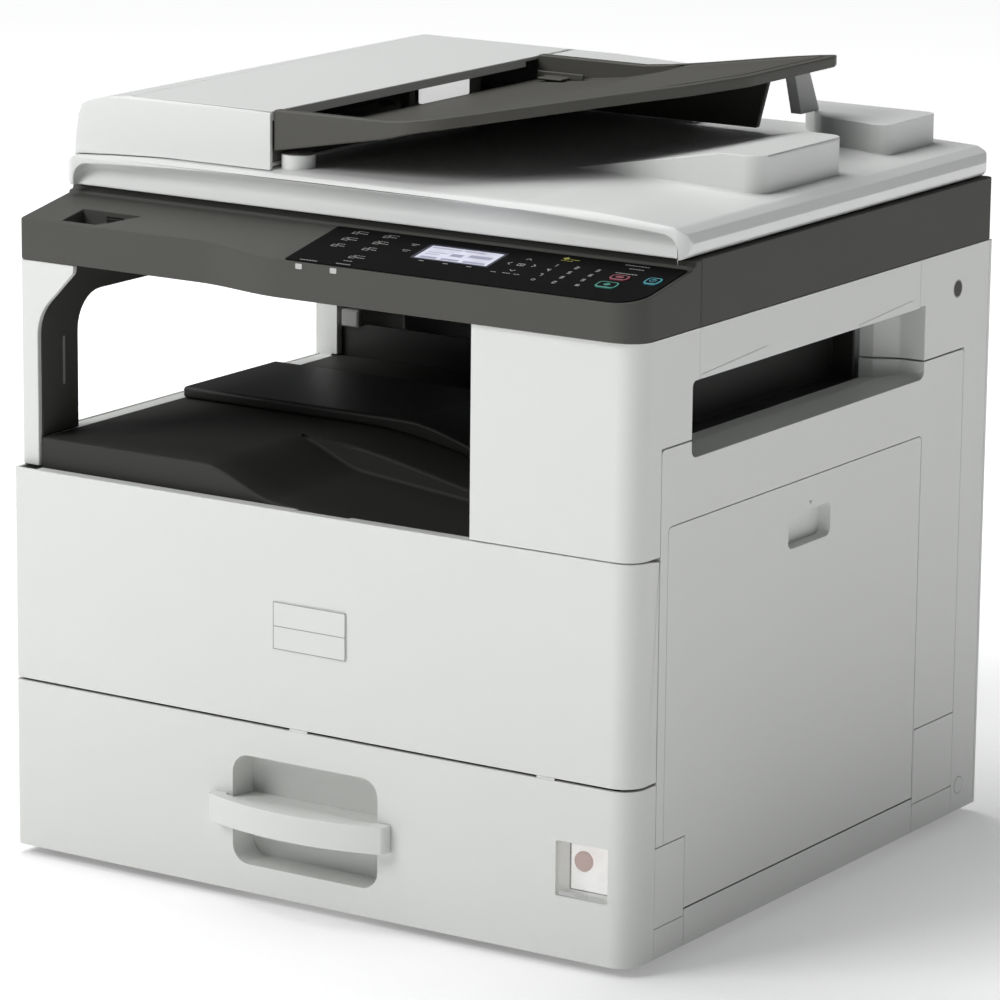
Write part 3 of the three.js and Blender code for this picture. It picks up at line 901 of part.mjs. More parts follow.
function makeInputTray() {
  const span = TRAY_RIGHT - TRAY_LEFT;
  const topLine = [];
  const lowLine = [];
  for (let k = 0; k <= 14; k++) {
    const x = TRAY_LEFT + (span * k) / 14;
    topLine.push([x, trayEdge(x)]);
    const wedge = Math.max(9, 32.5 - 23.5 * ((x - TRAY_LEFT) / 132));
    lowLine.push([x, trayEdge(x) - wedge]);
  }
  const depth = TRAY_BACK - TRAY_FRONT;
  const y = (share) => TRAY_FRONT + depth * share;
  const plan = outline([
    [TRAY_LEFT, TRAY_FRONT, 2], [TRAY_LEFT + 138, TRAY_FRONT + 6, 50], [TRAY_RIGHT - 18, y(0.46), 60],
    [TRAY_RIGHT, y(0.62), 40], [TRAY_RIGHT, y(0.965), 6], [TRAY_RIGHT - 6, TRAY_BACK, 5], [TRAY_LEFT, TRAY_BACK],
  ], 6);
  const inset = 9;
  const hollowPlan = outline([
    [TRAY_LEFT - 2, TRAY_FRONT + inset], [TRAY_LEFT + 132, TRAY_FRONT + inset + 4, 46],
    [TRAY_RIGHT - 30, y(0.49), 56], [TRAY_RIGHT - 12, y(0.64), 36], [TRAY_RIGHT - 12, TRAY_BACK - inset, 4],
    [TRAY_LEFT - 2, TRAY_BACK - inset],
  ], 6);
  const slab = prism('y', outline([...lowLine, ...topLine.slice().reverse()]), TRAY_FRONT - 1, TRAY_BACK + 1)
    .intersect(prism('z', plan, LID_TOP, TRAY_TOP + 10));
  // The hollow is deep at the feeder and runs out to the surface at the tip.
  const floor = [
    [TRAY_LEFT - 3, FEEDER_TOP - 20], [TRAY_LEFT + 40, FEEDER_TOP - 17.5], [TRAY_LEFT + 88, FEEDER_TOP - 12],
    [TRAY_LEFT + 122, FEEDER_TOP - 4.5], [TRAY_LEFT + 150, trayEdge(TRAY_LEFT + 150) - 1.6],
    [TRAY_RIGHT - 30, trayEdge(TRAY_RIGHT - 30) - 1.2], [TRAY_RIGHT, trayEdge(TRAY_RIGHT) - 1.2],
    [TRAY_RIGHT, TRAY_TOP + 20], [TRAY_LEFT - 3, TRAY_TOP + 20],
  ];
  const hollow = prism('y', outline(floor), TRAY_FRONT, TRAY_BACK)
    .intersect(prism('z', hollowPlan, LID_TOP, TRAY_TOP + 30));
  const skirtLine = topLine.filter(([x]) => x < TRAY_RIGHT - 42)
    .map(([x, z]) => [Math.max(x, TRAY_LEFT + 1), z - 5]);
  const skirtEnd = skirtLine[skirtLine.length - 1][0];
  const skirt = prism('y', outline([
    [TRAY_LEFT + 1, LID_TOP + 3.5], [skirtEnd - 14, LID_TOP + 3.5], ...skirtLine.reverse(),
  ]), TRAY_BACK - 8, TRAY_BACK - 2);
  add('adf_input_tray', joined(cut(slab, hollow), skirt), dark);

  const legX = TRAY_RIGHT - 28;
  const legTop = trayEdge(legX - 10) - 10;
  const leg = prism('x', outline([
    [TRAY_BACK - 30, legTop], [TRAY_BACK - 18, LID_TOP + 20.6], [TRAY_BACK + 12, LID_TOP + 20.6],
    [TRAY_BACK - 6, legTop],
  ]), legX - 10, legX);
  add('input_tray_leg', leg, grey);

  for (const [side, at] of [['front', TRAY_FRONT + inset + 4], ['rear', TRAY_BACK - inset - 7]]) {
    const base = FEEDER_TOP - 18.6;
    const fence = joined(
      prism('y', outline([
        [TRAY_LEFT + 4, base], [TRAY_LEFT + 50, base + 3], [TRAY_LEFT + 50, base + 7, 3], [TRAY_LEFT + 4, base + 7],
      ]), at, at + 3),
      block(TRAY_LEFT + 12, TRAY_LEFT + 36, side === 'front' ? at : at - 12, side === 'front' ? at + 15 : at + 3,
        base + 1.8, base + 3.4),
    );
    add(`adf_fence_${side}`, fence, dark);
  }
}

// ---- parts inside ----

function makeInside() {
  const y0 = FRAME_FRONT + SHEET + 6;
  const y1 = FRAME_REAR - SHEET - 6;
  const roller = (radius, x, z, sides = 24) => joined(
    rod('y', radius, y0 + 14, y1 - 14, x, z, sides), rod('y', 4, y0, y1, x, z, 12));
  add('photoconductor_drum', roller(DRUM_RADIUS, ...DRUM, 32), organic);
  const profile = [
    [0, 0], [BOTTLE_RADIUS - 6, 0], [BOTTLE_RADIUS, 6], [BOTTLE_RADIUS, 40], [BOTTLE_RADIUS - 3, 44],
    [BOTTLE_RADIUS - 3, y1 - y0 - 60], [BOTTLE_RADIUS - 12, y1 - y0 - 40], [14, y1 - y0 - 36], [14, y1 - y0], [0, y1 - y0],
  ].map(([r, h]) => new THREE.Vector2(r, h));
  const bottle = new THREE.LatheGeometry(profile, 28);
  bottle.translate(BOTTLE[0], y0, BOTTLE[1]);
  add('toner_bottle', solid(bottle), black);
  add('fuser_roller', roller(FUSER_RADIUS, ...FUSER), red);
  add('pressure_roller', roller(FUSER_RADIUS, FUSER[0] + 2 * FUSER_RADIUS + GAP, FUSER[1]), rubber);
  add('paper_feed_roller', joined(
    rod('y', FEED_ROLLER_RADIUS, BOX_MIDDLE - 30, BOX_MIDDLE + 30, BOX_RIGHT - 12, BOX_TOP + FEED_ROLLER_RADIUS + 3),
    rod('y', 4, y0, y1, BOX_RIGHT - 12, BOX_TOP + FEED_ROLLER_RADIUS + 3, 12),
  ), rubber);
  const unit = cut(
    block(FRAME_LEFT + 40, BOTTLE[0] - 60, FRAME_FRONT + 60, FRAME_REAR - 70, SHELF + SHEET + GAP, SHELF + 70),
    block(BOTTLE[0] - 62, BOTTLE[0] - 50, FRAME_FRONT + 80, FRAME_REAR - 90, SHELF + 40, SHELF + 50),
  );
  add('laser_unit', unit, black);
}

makeFeet();
makeFrame();
makeLeftSide();
makeRearCover();
makeRightSide();
makeRightDoor();
makeBypassTray();
makeFrontDoor();
makeDrawer();
makeDrawerInside();
makeSwitch();
makeBay();
makeScanner();
makePanel();
makeFeeder(makePlatenCover());
makeHinges();
makeInputTray();
makeInside();

export default part;
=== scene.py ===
"""Looks of a desktop photocopier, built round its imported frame.

Most visible pieces are refined copies of the frame's own parts: triangles merged into flat
faces, edges rounded and normals weighted. What the frame leaves plain, such as the panel's
print, the badge and the screw plugs, is added as thin surfaces worked out on grids.
Metres, +Z up, +X to the machine's right, +Y to its back.
"""

import json
import math

import bmesh
import bpy
import numpy as np
from mathutils import Matrix, Vector


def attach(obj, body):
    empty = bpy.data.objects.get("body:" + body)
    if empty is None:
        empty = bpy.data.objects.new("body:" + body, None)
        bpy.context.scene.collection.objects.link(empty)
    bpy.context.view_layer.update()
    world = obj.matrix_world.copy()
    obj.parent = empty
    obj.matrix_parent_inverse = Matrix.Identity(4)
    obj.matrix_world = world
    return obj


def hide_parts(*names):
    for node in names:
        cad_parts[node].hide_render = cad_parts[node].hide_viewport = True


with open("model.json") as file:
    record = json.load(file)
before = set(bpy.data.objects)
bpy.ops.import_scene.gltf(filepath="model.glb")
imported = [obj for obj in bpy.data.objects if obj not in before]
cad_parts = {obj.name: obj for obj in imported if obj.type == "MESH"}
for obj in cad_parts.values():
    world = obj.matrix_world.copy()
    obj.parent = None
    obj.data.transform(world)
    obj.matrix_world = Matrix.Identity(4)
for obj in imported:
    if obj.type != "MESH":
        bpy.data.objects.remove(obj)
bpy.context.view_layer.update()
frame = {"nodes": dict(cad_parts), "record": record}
NODES = frame["nodes"]
RECORD = frame["record"]
BODY_OF = {n: b for b, names in RECORD["behaviour"]["bodies"].items() for n in names}
SLOT_OF = {row["node"]: row["material_slot"] for row in RECORD["subparts"]}
MM = 0.001


# ---- node groups and materials ----

def new_group(name, inputs, outputs):
    """An empty shader group; inputs and outputs are (name, socket type, default)."""
    group = bpy.data.node_groups.new(name, "ShaderNodeTree")
    for direction, rows in (("INPUT", inputs), ("OUTPUT", outputs)):
        for label, kind, default in rows:
            socket = group.interface.new_socket(label, in_out=direction, socket_type=kind)
            if default is not None:
                socket.default_value = default
    start = group.nodes.new("NodeGroupInput")
    end = group.nodes.new("NodeGroupOutput")
    return group, start, end


def math_node(tree, operation, a, b=None, clamp=False):
    """One Math node; a and b are sockets or numbers."""
    node = tree.nodes.new("ShaderNodeMath")
    node.operation = operation
    node.use_clamp = clamp
    for socket, value in zip(node.inputs, (a, b)):
        if value is None:
            continue
        if isinstance(value, (int, float)):
            socket.default_value = value
        else:
            tree.links.new(value, socket)
    return node.outputs[0]


def make_grain_group():
    """Moulded plastic: a fine grain bumps the normal and varies the gloss, and the colour is
    multiplied by 1 + Drift * (slow noise - 0.5)."""
    group, start, end = new_group(
        "moulded_grain",
        [("Color", "NodeSocketColor", None), ("Roughness", "NodeSocketFloat", 0.45),
         ("Grain Size", "NodeSocketFloat", 900.0), ("Grain Depth", "NodeSocketFloat", 0.2),
         ("Drift", "NodeSocketFloat", 0.03)],
        [("Color", "NodeSocketColor", None), ("Roughness", "NodeSocketFloat", None),
         ("Normal", "NodeSocketVector", None)],
    )
    tree = group
    place = tree.nodes.new("ShaderNodeTexCoord")
    fine = tree.nodes.new("ShaderNodeTexNoise")
    fine.inputs["Detail"].default_value = 2.0
    fine.inputs["Roughness"].default_value = 0.6
    tree.links.new(place.outputs["Object"], fine.inputs["Vector"])
    tree.links.new(start.outputs["Grain Size"], fine.inputs["Scale"])
    slow = tree.nodes.new("ShaderNodeTexNoise")
    slow.inputs["Scale"].default_value = 7.0
    slow.inputs["Detail"].default_value = 2.0
    tree.links.new(place.outputs["Object"], slow.inputs["Vector"])
    centred = math_node(tree, "SUBTRACT", slow.outputs["Fac"], 0.5)
    drift = math_node(tree, "MULTIPLY", centred, start.outputs["Drift"])
    gain = math_node(tree, "ADD", drift, 1.0)
    tint = tree.nodes.new("ShaderNodeVectorMath")
    tint.operation = "SCALE"
    tree.links.new(start.outputs["Color"], tint.inputs[0])
    tree.links.new(gain, tint.inputs["Scale"])
    tree.links.new(tint.outputs[0], end.inputs["Color"])
    rough_fine = math_node(tree, "SUBTRACT", fine.outputs["Fac"], 0.5)
    rough_step = math_node(tree, "MULTIPLY", rough_fine, 0.12)
    rough = math_node(tree, "ADD", start.outputs["Roughness"], rough_step, clamp=True)
    tree.links.new(rough, end.inputs["Roughness"])
    bump = tree.nodes.new("ShaderNodeBump")
    bump.inputs["Distance"].default_value = 0.05 * MM
    tree.links.new(start.outputs["Grain Depth"], bump.inputs["Strength"])
    tree.links.new(fine.outputs["Fac"], bump.inputs["Height"])
    tree.links.new(bump.outputs["Normal"], end.inputs["Normal"])
    return group


GRAIN = make_grain_group()


def blank_material(name):
    """A material with a Principled shader, and the shader."""
    material = bpy.data.materials.new(name)
    material.use_nodes = True
    shader = material.node_tree.nodes["Principled BSDF"]
    return material, shader


def plastic(name, color, rough=0.45, grain=900.0, depth=0.2, drift=0.03, specular=0.5):
    """Moulded plastic: the grain group feeds colour, roughness and normal."""
    material, shader = blank_material(name)
    tree = material.node_tree
    node = tree.nodes.new("ShaderNodeGroup")
    node.node_tree = GRAIN
    node.inputs["Color"].default_value = (*color, 1.0)
    node.inputs["Roughness"].default_value = rough
    node.inputs["Grain Size"].default_value = grain
    node.inputs["Grain Depth"].default_value = depth
    node.inputs["Drift"].default_value = drift
    tree.links.new(node.outputs["Color"], shader.inputs["Base Color"])
    tree.links.new(node.outputs["Roughness"], shader.inputs["Roughness"])
    tree.links.new(node.outputs["Normal"], shader.inputs["Normal"])
    shader.inputs["Specular IOR Level"].default_value = specular
    return material


BRUSH_STRETCH = (1.0, 40.0, 40.0)


def metal(name, color, rough=0.35):
    """Brushed sheet metal: noise stretched along one axis varies the gloss and the normal."""
    material, shader = blank_material(name)
    tree = material.node_tree
    place = tree.nodes.new("ShaderNodeTexCoord")
    mapping = tree.nodes.new("ShaderNodeMapping")
    mapping.inputs["Scale"].default_value = BRUSH_STRETCH
    noise = tree.nodes.new("ShaderNodeTexNoise")
    noise.inputs["Scale"].default_value = 30.0
    tree.links.new(place.outputs["Object"], mapping.inputs["Vector"])
    tree.links.new(mapping.outputs["Vector"], noise.inputs["Vector"])
    rough_step = math_node(tree, "MULTIPLY_ADD", noise.outputs["Fac"], 0.25)
    rough_step.node.inputs[2].default_value = rough - 0.12
    tree.links.new(rough_step, shader.inputs["Roughness"])
    bump = tree.nodes.new("ShaderNodeBump")
    bump.inputs["Strength"].default_value = 0.15
    bump.inputs["Distance"].default_value = 0.05 * MM
    tree.links.new(noise.outputs["Fac"], bump.inputs["Height"])
    tree.links.new(bump.outputs["Normal"], shader.inputs["Normal"])
    shader.inputs["Base Color"].default_value = (*color, 1.0)
    shader.inputs["Metallic"].default_value = 1.0
    return material


ACRYLIC_IOR = 1.49


def clear_plastic(name, color, rough, weight):
    """See-through plastic or glass: a plain transmission weight with a tinted base."""
    material, shader = blank_material(name)
    shader.inputs["Base Color"].default_value = (*color, 1.0)
    shader.inputs["Roughness"].default_value = rough
    shader.inputs["Transmission Weight"].default_value = weight
    shader.inputs["IOR"].default_value = ACRYLIC_IOR
    return material


def hazy_plastic(name, color, rough, cover):
    """Thin hazy sheet: lets most light straight through; fine noise varies its haze."""
    material, shader = blank_material(name)
    tree = material.node_tree
    where = tree.nodes.new("ShaderNodeTexCoord")
    haze = tree.nodes.new("ShaderNodeTexNoise")
    haze.inputs["Scale"].default_value = 60.0
    tree.links.new(where.outputs["Object"], haze.inputs["Vector"])
    centred = math_node(tree, "SUBTRACT", haze.outputs["Fac"], 0.5)
    change = math_node(tree, "MULTIPLY", centred, 0.15)
    tree.links.new(math_node(tree, "ADD", change, cover, clamp=True), shader.inputs["Alpha"])
    shader.inputs["Base Color"].default_value = (*color, 1.0)
    shader.inputs["Roughness"].default_value = rough
    return material


WHITE = plastic("white_cover", (0.745, 0.757, 0.735), rough=0.44, grain=1100.0, depth=0.12, drift=0.02,
                specular=0.4)
LID_WHITE = plastic("lid_white", (0.775, 0.787, 0.772), rough=0.42, grain=1100.0, depth=0.1, drift=0.02,
                    specular=0.4)
BAND = plastic("dark_band", (0.088, 0.087, 0.081), rough=0.6, grain=1000.0, depth=0.3, drift=0.06,
               specular=0.12)
TRAY_DARK = plastic("dark_tray", (0.088, 0.086, 0.077), rough=0.5, grain=900.0, depth=0.3, drift=0.06,
                    specular=0.3)
BAY_BLACK = plastic("bay_black", (0.024, 0.024, 0.022), rough=0.46, grain=800.0, depth=0.35, drift=0.08,
                    specular=0.3)
SHEET_BLACK = plastic("key_sheet_black", (0.009, 0.009, 0.009), rough=0.6, grain=1500.0, depth=0.1,
                      specular=0.01)
# The exit tray is the dark band's plastic, painted darker to stand in for the shade that falls on its top.
TRAY_PAINTED_SHADE = plastic("exit_tray_painted_shade", (0.047, 0.047, 0.044), rough=0.55, grain=900.0, depth=0.3, drift=0.06,
                    specular=0.12)
GREY = plastic("grey_plastic", (0.30, 0.305, 0.295), rough=0.5)
PALE_GREY = plastic("pale_grey", (0.50, 0.51, 0.50), rough=0.5)
RUBBER = plastic("foot_rubber", (0.03, 0.03, 0.03), rough=0.8, grain=600.0, depth=0.5)
STEEL = metal("brushed_steel", (0.55, 0.56, 0.56))
WINDOW = hazy_plastic("smoky_window", (0.66, 0.66, 0.64), 0.2, 0.22)
GLASS = clear_plastic("platen_glass", (0.75, 0.86, 0.82), 0.02, 0.95)
GREEN = plastic("start_green", (0.035, 0.24, 0.19), rough=0.35, depth=0.05)
RED = plastic("stop_red", (0.27, 0.05, 0.075), rough=0.35, depth=0.05)
CYAN = plastic("power_cyan", (0.035, 0.28, 0.34), rough=0.35, depth=0.05)
LAMP = plastic("rocker_pink", (0.60, 0.33, 0.29), rough=0.4)
TEAL = plastic("drum_teal", (0.03, 0.16, 0.2), rough=0.2)
PRINT_MARK = plastic("panel_print", (0.40, 0.40, 0.39), rough=0.6, depth=0.0)
YELLOW = plastic("lamp_yellow", (0.45, 0.43, 0.10), rough=0.5, depth=0.0)
NAVY = plastic("screen_frame", (0.012, 0.013, 0.035), rough=0.3, depth=0.0)
SCREEN_INK = plastic("screen_ink", (0.34, 0.34, 0.47), rough=0.4, depth=0.0)


def make_screen():
    """Backlit screen: pale lilac with a little light of its own, uneven in soft patches across it."""
    material, shader = blank_material("backlit_screen")
    tree = material.node_tree
    place_node = tree.nodes.new("ShaderNodeTexCoord")
    cloud = tree.nodes.new("ShaderNodeTexNoise")
    cloud.inputs["Scale"].default_value = 45.0
    tree.links.new(place_node.outputs["Object"], cloud.inputs["Vector"])
    glow = math_node(tree, "MULTIPLY", cloud.outputs["Fac"], 0.5)
    tree.links.new(glow, shader.inputs["Emission Strength"])
    shader.inputs["Emission Color"].default_value = (0.86, 0.86, 1.0, 1.0)
    shader.inputs["Base Color"].default_value = (0.52, 0.52, 0.62, 1.0)
    shader.inputs["Roughness"].default_value = 0.25
    return material


def make_painted_glow_pad():
    """Painted light: pale plastic with an even glow of its own, though it is no lamp."""
    material = plastic("painted_glow_pad", (0.85, 0.86, 0.85), rough=0.5)
    shader = material.node_tree.nodes["Principled BSDF"]
    shader.inputs["Emission Color"].default_value = (1.0, 1.0, 1.0, 1.0)
    shader.inputs["Emission Strength"].default_value = 0.55
    return material


SCREEN = make_screen()
PAINTED_GLOW = make_painted_glow_pad()

SLOT_LOOK = {
    "white": WHITE, "dark": BAND, "black": BAY_BLACK, "grey": GREY, "steel": STEEL,
    "rubber": RUBBER, "clear": WINDOW, "glass": GLASS, "screen": SCREEN, "green": GREEN,
    "red": RED, "blue": CYAN, "organic": TEAL,
}
NODE_LOOK = {
    "platen_cover": LID_WHITE, "adf_top_cover": LID_WHITE, "adf_body": LID_WHITE,
    "adf_input_tray": TRAY_DARK, "adf_feed_deck": TRAY_DARK, "adf_fence_front": TRAY_DARK,
    "adf_fence_rear": TRAY_DARK, "key_sheet": SHEET_BLACK, "input_tray_leg": PALE_GREY,
    "power_switch": LAMP, "output_tray": TRAY_PAINTED_SHADE, "left_post_liner": BAND,
}


def look_of(node):
    """A node's own material, or else its slot's."""
    return NODE_LOOK.get(node, SLOT_LOOK[SLOT_OF[node]])


# ---- pieces ----

def add_piece(name, mesh, material, body):
    """Puts a mesh in the scene as a piece that rides on a body."""
    mesh.materials.clear()
    mesh.materials.append(material)
    obj = bpy.data.objects.new(name, mesh)
    bpy.context.scene.collection.objects.link(obj)
    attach(obj, body)
    return obj


# Rounding in millimetres where it differs from the usual, and the pieces whose narrow faces
# need it limited.
USUAL_BEVEL = 0.7
BEVEL_STEPS = 3
BEVEL_ANGLE = 32.0        # degrees; flatter edges stay sharp
MERGE_ANGLE = 0.12        # degrees between triangles taken as one flat face
CLAMPED = {"right_door", "bypass_tray", "right_front_cover", "drawer_handle", "drawer_front"}
BEVELS = {
    "front_door": 0.9, "drawer_front": 1.0, "right_front_cover": 0.9, "drawer_handle": 2.0,
    "control_panel_housing": 1.0, "scanner_housing": 1.0, "platen_cover": 0.8, "adf_top_cover": 0.6,
    "adf_body": 1.2, "adf_input_tray": 1.4, "output_tray": 3.0, "exit_tray_step": 3.0,
    "front_left_post": 0.9, "key_sheet": 0.2, "lcd_window": 0.15, "front_badge": 0.1,
    "start_key": 0.3, "stop_key": 0.3, "power_key": 0.3, "usb_socket": 0.3, "switch_window": 0.4,
    "platen_glass": 0.3, "drawer_box": 0.5, "drawer_lift_plate": 0.4, "base_frame": 0.4,
    "bay_lining": 0.6, "side_exit_guide": 0.6, "right_lower_cover": 0.3, "rear_cover": 0.6,
    "right_rear_cover": 0.6, "right_upper_cover": 0.5, "adf_feed_deck": 0.6, "power_inlet": 0.3,
    "laser_unit": 0.6, "scanner_carriage": 0.8, "toner_bottle": 0.8,
}


def rounded_copy(node, width):
    """A node's surface with its coplanar triangles merged, every edge sharper than
    BEVEL_ANGLE rounded to the width in millimetres, and normals weighted by face area."""
    mesh = NODES[node].data.copy()
    bm = bmesh.new()
    bm.from_mesh(mesh)
    bmesh.ops.remove_doubles(bm, verts=bm.verts, dist=0.02 * MM)
    bmesh.ops.dissolve_limit(
        bm, angle_limit=math.radians(MERGE_ANGLE), use_dissolve_boundaries=False,
        verts=bm.verts, edges=bm.edges, delimit=set())
    for face in bm.faces:
        face.smooth = True
    bm.to_mesh(mesh)
    bm.free()
    obj = add_piece(f"{node}_skin", mesh, look_of(node), BODY_OF[node])
    bevel = obj.modifiers.new("round_edges", "BEVEL")
    bevel.width = width * MM
    bevel.segments = BEVEL_STEPS
    bevel.limit_method = "ANGLE"
    bevel.angle_limit = math.radians(BEVEL_ANGLE)
    bevel.use_clamp_overlap = node in CLAMPED
    weigh = obj.modifiers.new("weighted_normals", "WEIGHTED_NORMAL")
    weigh.keep_sharp = True
    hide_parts(node)


for node_name in NODES:
    rounded_copy(node_name, BEVELS.get(node_name, USUAL_BEVEL))


# ---- added detail ----

Y_CENTRE = 273.0          # the layout's y = 0 is the plane of the front door
FOOT = 8.0                # and its z = 0 the lower edge of the covers
PANEL_Z = 513.8           # height of the panel's slope at y = 0
PANEL_TILT = math.atan(0.19)
SIDE = 293.5              # outer plane of the side covers
SWITCH = (249.8, 71.0)


def panel_plane(a, b, h):
    """x, distance up the slope and height above it, to x, y, z."""
    lift, run = math.sin(PANEL_TILT), math.cos(PANEL_TILT)
    return np.stack([a, b * run - h * lift, PANEL_Z + b * lift + h * run], axis=-1)


def front_plane(at):
    """x and z on a plane facing forward; h stands out towards the front."""
    return lambda a, b, h: np.stack([a, at - h, b], axis=-1)


def side_plane(at):
    """y and z on a plane facing right; h stands out to the right."""
    return lambda a, b, h: np.stack([at + h, a, b], axis=-1)


def box_shape(a0, a1, b0, b1, radius=0.0, steps=4):
    """Corners of a rectangle, each replaced by an arc of the radius."""
    if not radius:
        return np.array([[a0, b0], [a1, b0], [a1, b1], [a0, b1]], float)
    turns = np.linspace(0.0, math.pi / 2, steps + 1)
    centres = [(a0, b0, math.pi, 1, 1), (a1, b0, 1.5 * math.pi, -1, 1),
               (a1, b1, 0.0, -1, -1), (a0, b1, 0.5 * math.pi, 1, -1)]
    rows = []
    for a, b, start, da, db in centres:
        angles = start + turns
        rows.append(np.stack([a + da * radius + radius * np.cos(angles),
                              b + db * radius + radius * np.sin(angles)], axis=1))
    return np.concatenate(rows)


def round_shape(a, b, radius, count=32):
    """Points evenly spaced on a circle."""
    angles = np.arange(count) * 2 * math.pi / count
    return np.stack([a + radius * np.cos(angles), b + radius * np.sin(angles)], axis=1)


def stroke(start, end, width):
    """A straight line of the given width with square ends half a width beyond its points."""
    start, end = np.array(start, float), np.array(end, float)
    along = end - start
    along /= np.linalg.norm(along)
    across = np.array([-along[1], along[0]]) * width / 2
    start, end = start - along * width / 2, end + along * width / 2
    return np.array([start - across, end - across, end + across, start + across])


def ring(shape, width):
    """Strokes along the sides of a closed shape."""
    return [stroke(shape[i], shape[(i + 1) % len(shape)], width) for i in range(len(shape))]


def raised(name, shapes, plane, low, high, material, body):
    """Flat plates on a plane: every outline is lifted from low to high, and its top edge is
    eased by drawing the last fifth of the height in towards the outline's middle."""
    verts, faces = [], []
    for shape in shapes:
        middle = shape.mean(axis=0)
        spread = np.abs(shape - middle).max()
        eased = middle + (shape - middle) * (1 - 0.25 * min(high - low, spread) / spread)
        shoulder = high - 0.2 * (high - low)
        count, base = len(shape), len(verts)
        for outline, height in ((shape, low), (shape, shoulder), (eased, high)):
            level = np.full(count, height)
            verts.extend(plane(outline[:, 0], outline[:, 1], level).tolist())
        for layer in (0, count):
            for i in range(count):
                j = (i + 1) % count
                faces.append((base + layer + i, base + layer + j, base + layer + count + j,
                              base + layer + count + i))
        faces.append(tuple(base + 2 * count + i for i in range(count)))
        faces.append(tuple(base + count - 1 - i for i in range(count)))
    points = (np.array(verts) + np.array([0.0, -Y_CENTRE, FOOT])) * MM
    mesh = bpy.data.meshes.new(name)
    mesh.from_pydata(points.tolist(), [], faces)
    bm = bmesh.new()
    bm.from_mesh(mesh)
    bmesh.ops.recalc_face_normals(bm, faces=bm.faces)
    bm.to_mesh(mesh)
    bm.free()
    add_piece(name, mesh, material, body)


SEGMENTS = {"a": ((0, 2), (1, 2)), "b": ((1, 1), (1, 2)), "c": ((1, 0), (1, 1)), "d": ((0, 0), (1, 0)),
            "e": ((0, 0), (0, 1)), "f": ((0, 1), (0, 2)), "g": ((0, 1), (1, 1))}
DIGITS = {"1": "bc", "2": "abged", "3": "abgcd", "4": "fgbc", "5": "afgcd", "6": "afgedc",
          "7": "abc", "8": "abcdefg", "9": "gfabcd", "0": "abcdef"}


def digit(value, a, b, size, width):
    """A figure from straight strokes, size wide and twice as high, its middle at a, b."""
    lines = []
    for key in DIGITS[value]:
        ends = [(a + (u - 0.5) * size, b + (v - 1.0) * size) for u, v in SEGMENTS[key]]
        lines.append(stroke(*ends, width))
    return lines


def caption(a, b, length, width=0.8):
    """A short broken line in the place of a word: dashes of changing length."""
    lines, at, k = [], a - length / 2, 0
    while at < a + length / 2 - 0.8:
        step = 0.9 + 0.8 * abs(math.sin(2.3 * k + a))
        lines.append(stroke((at, b), (min(at + step, a + length / 2), b), width))
        at += step + 1.3
        k += 1
    return lines


def make_panel_print():
    """Number keys, mode keys and captions printed on the black sheet."""
    marks = []
    for index, value in enumerate("123456789"):
        marks += digit(value, 188.5 + 18.7 * (index % 3), 52.8 - 10.6 * (index // 3), 2.0, 0.75)
    marks += digit("0", 207.2, 20.6, 2.0, 0.75)
    marks += ring(round_shape(188.5, 20.6, 1.5, 8), 0.7)
    for step in (-0.9, 0.9):
        marks.append(stroke((226.0, 20.6 + step), (229.0, 20.6 + step), 0.6))
        marks.append(stroke((227.5 + step, 19.0), (227.5 + step, 22.2), 0.6))
    for a in (0.0, 29.0):
        for b, length in ((66.5, 9), (52.0, 11), (37.5, 8), (19.0, 10)):
            if a == 0.0 and b < 20.0:
                continue
            marks += ring(box_shape(a - 6, a - 1, b - 2.4, b + 1.2), 0.6)
            marks += caption(a + 4, b - 0.6, length * 0.7)
            marks += caption(a + 1, b + 3.4, length, 0.6)
    marks += caption(-3.0, 1.6, 16, 0.9) + caption(27.6, 2.8, 12, 0.9) + caption(28.0, 10.0, 9)
    for a, b in ((57.5, 58.5), (57.5, 45.5)):
        marks += caption(a, b, 6) + [stroke((a - 2, b - 2.6), (a + 2, b - 2.6), 0.5)]
    for a in (82.0, 104.0, 125.5):
        marks += [stroke((a - 1.8, 28.8), (a + 1.8, 28.8), 0.9)]
    arrows = ((162.0, 56.5, 0, 1), (162.0, 33.5, 0, -1), (152.5, 45.5, -1, 0), (172.0, 46.5, 1, 0))
    for a, b, du, dv in arrows:
        tip = (a + 2.2 * du, b + 2.2 * dv)
        marks += [stroke((a - 2.2 * dv, b - 2.2 * du), tip, 0.7),
                  stroke((a + 2.2 * dv, b + 2.2 * du), tip, 0.7)]
    marks += ring(box_shape(159.3, 164.7, 43.2, 47.2), 0.6) + digit("0", 162.0, 45.2, 0.8, 0.4)
    for a, b in ((150.5, 25.5), (161.0, 26.0), (171.0, 26.0)):
        marks += caption(a, b, 6)
    for a, b, length in ((251.0, 70.5, 22), (253.0, 64.0, 12), (250.5, 53.5, 18)):
        marks += caption(a, b, length, 0.9)
    raised("panel_marks", marks, panel_plane, 1.05, 1.16, PRINT_MARK, "machine")
    yellow = [np.array([[188.6, 65.6], [191.8, 68.2], [188.6, 70.8], [185.4, 68.2]])]
    yellow += caption(197.0, 67.0, 7, 0.9) + caption(192.0, 63.8, 11, 0.7)
    raised("data_mark", yellow, panel_plane, 1.05, 1.17, YELLOW, "machine")


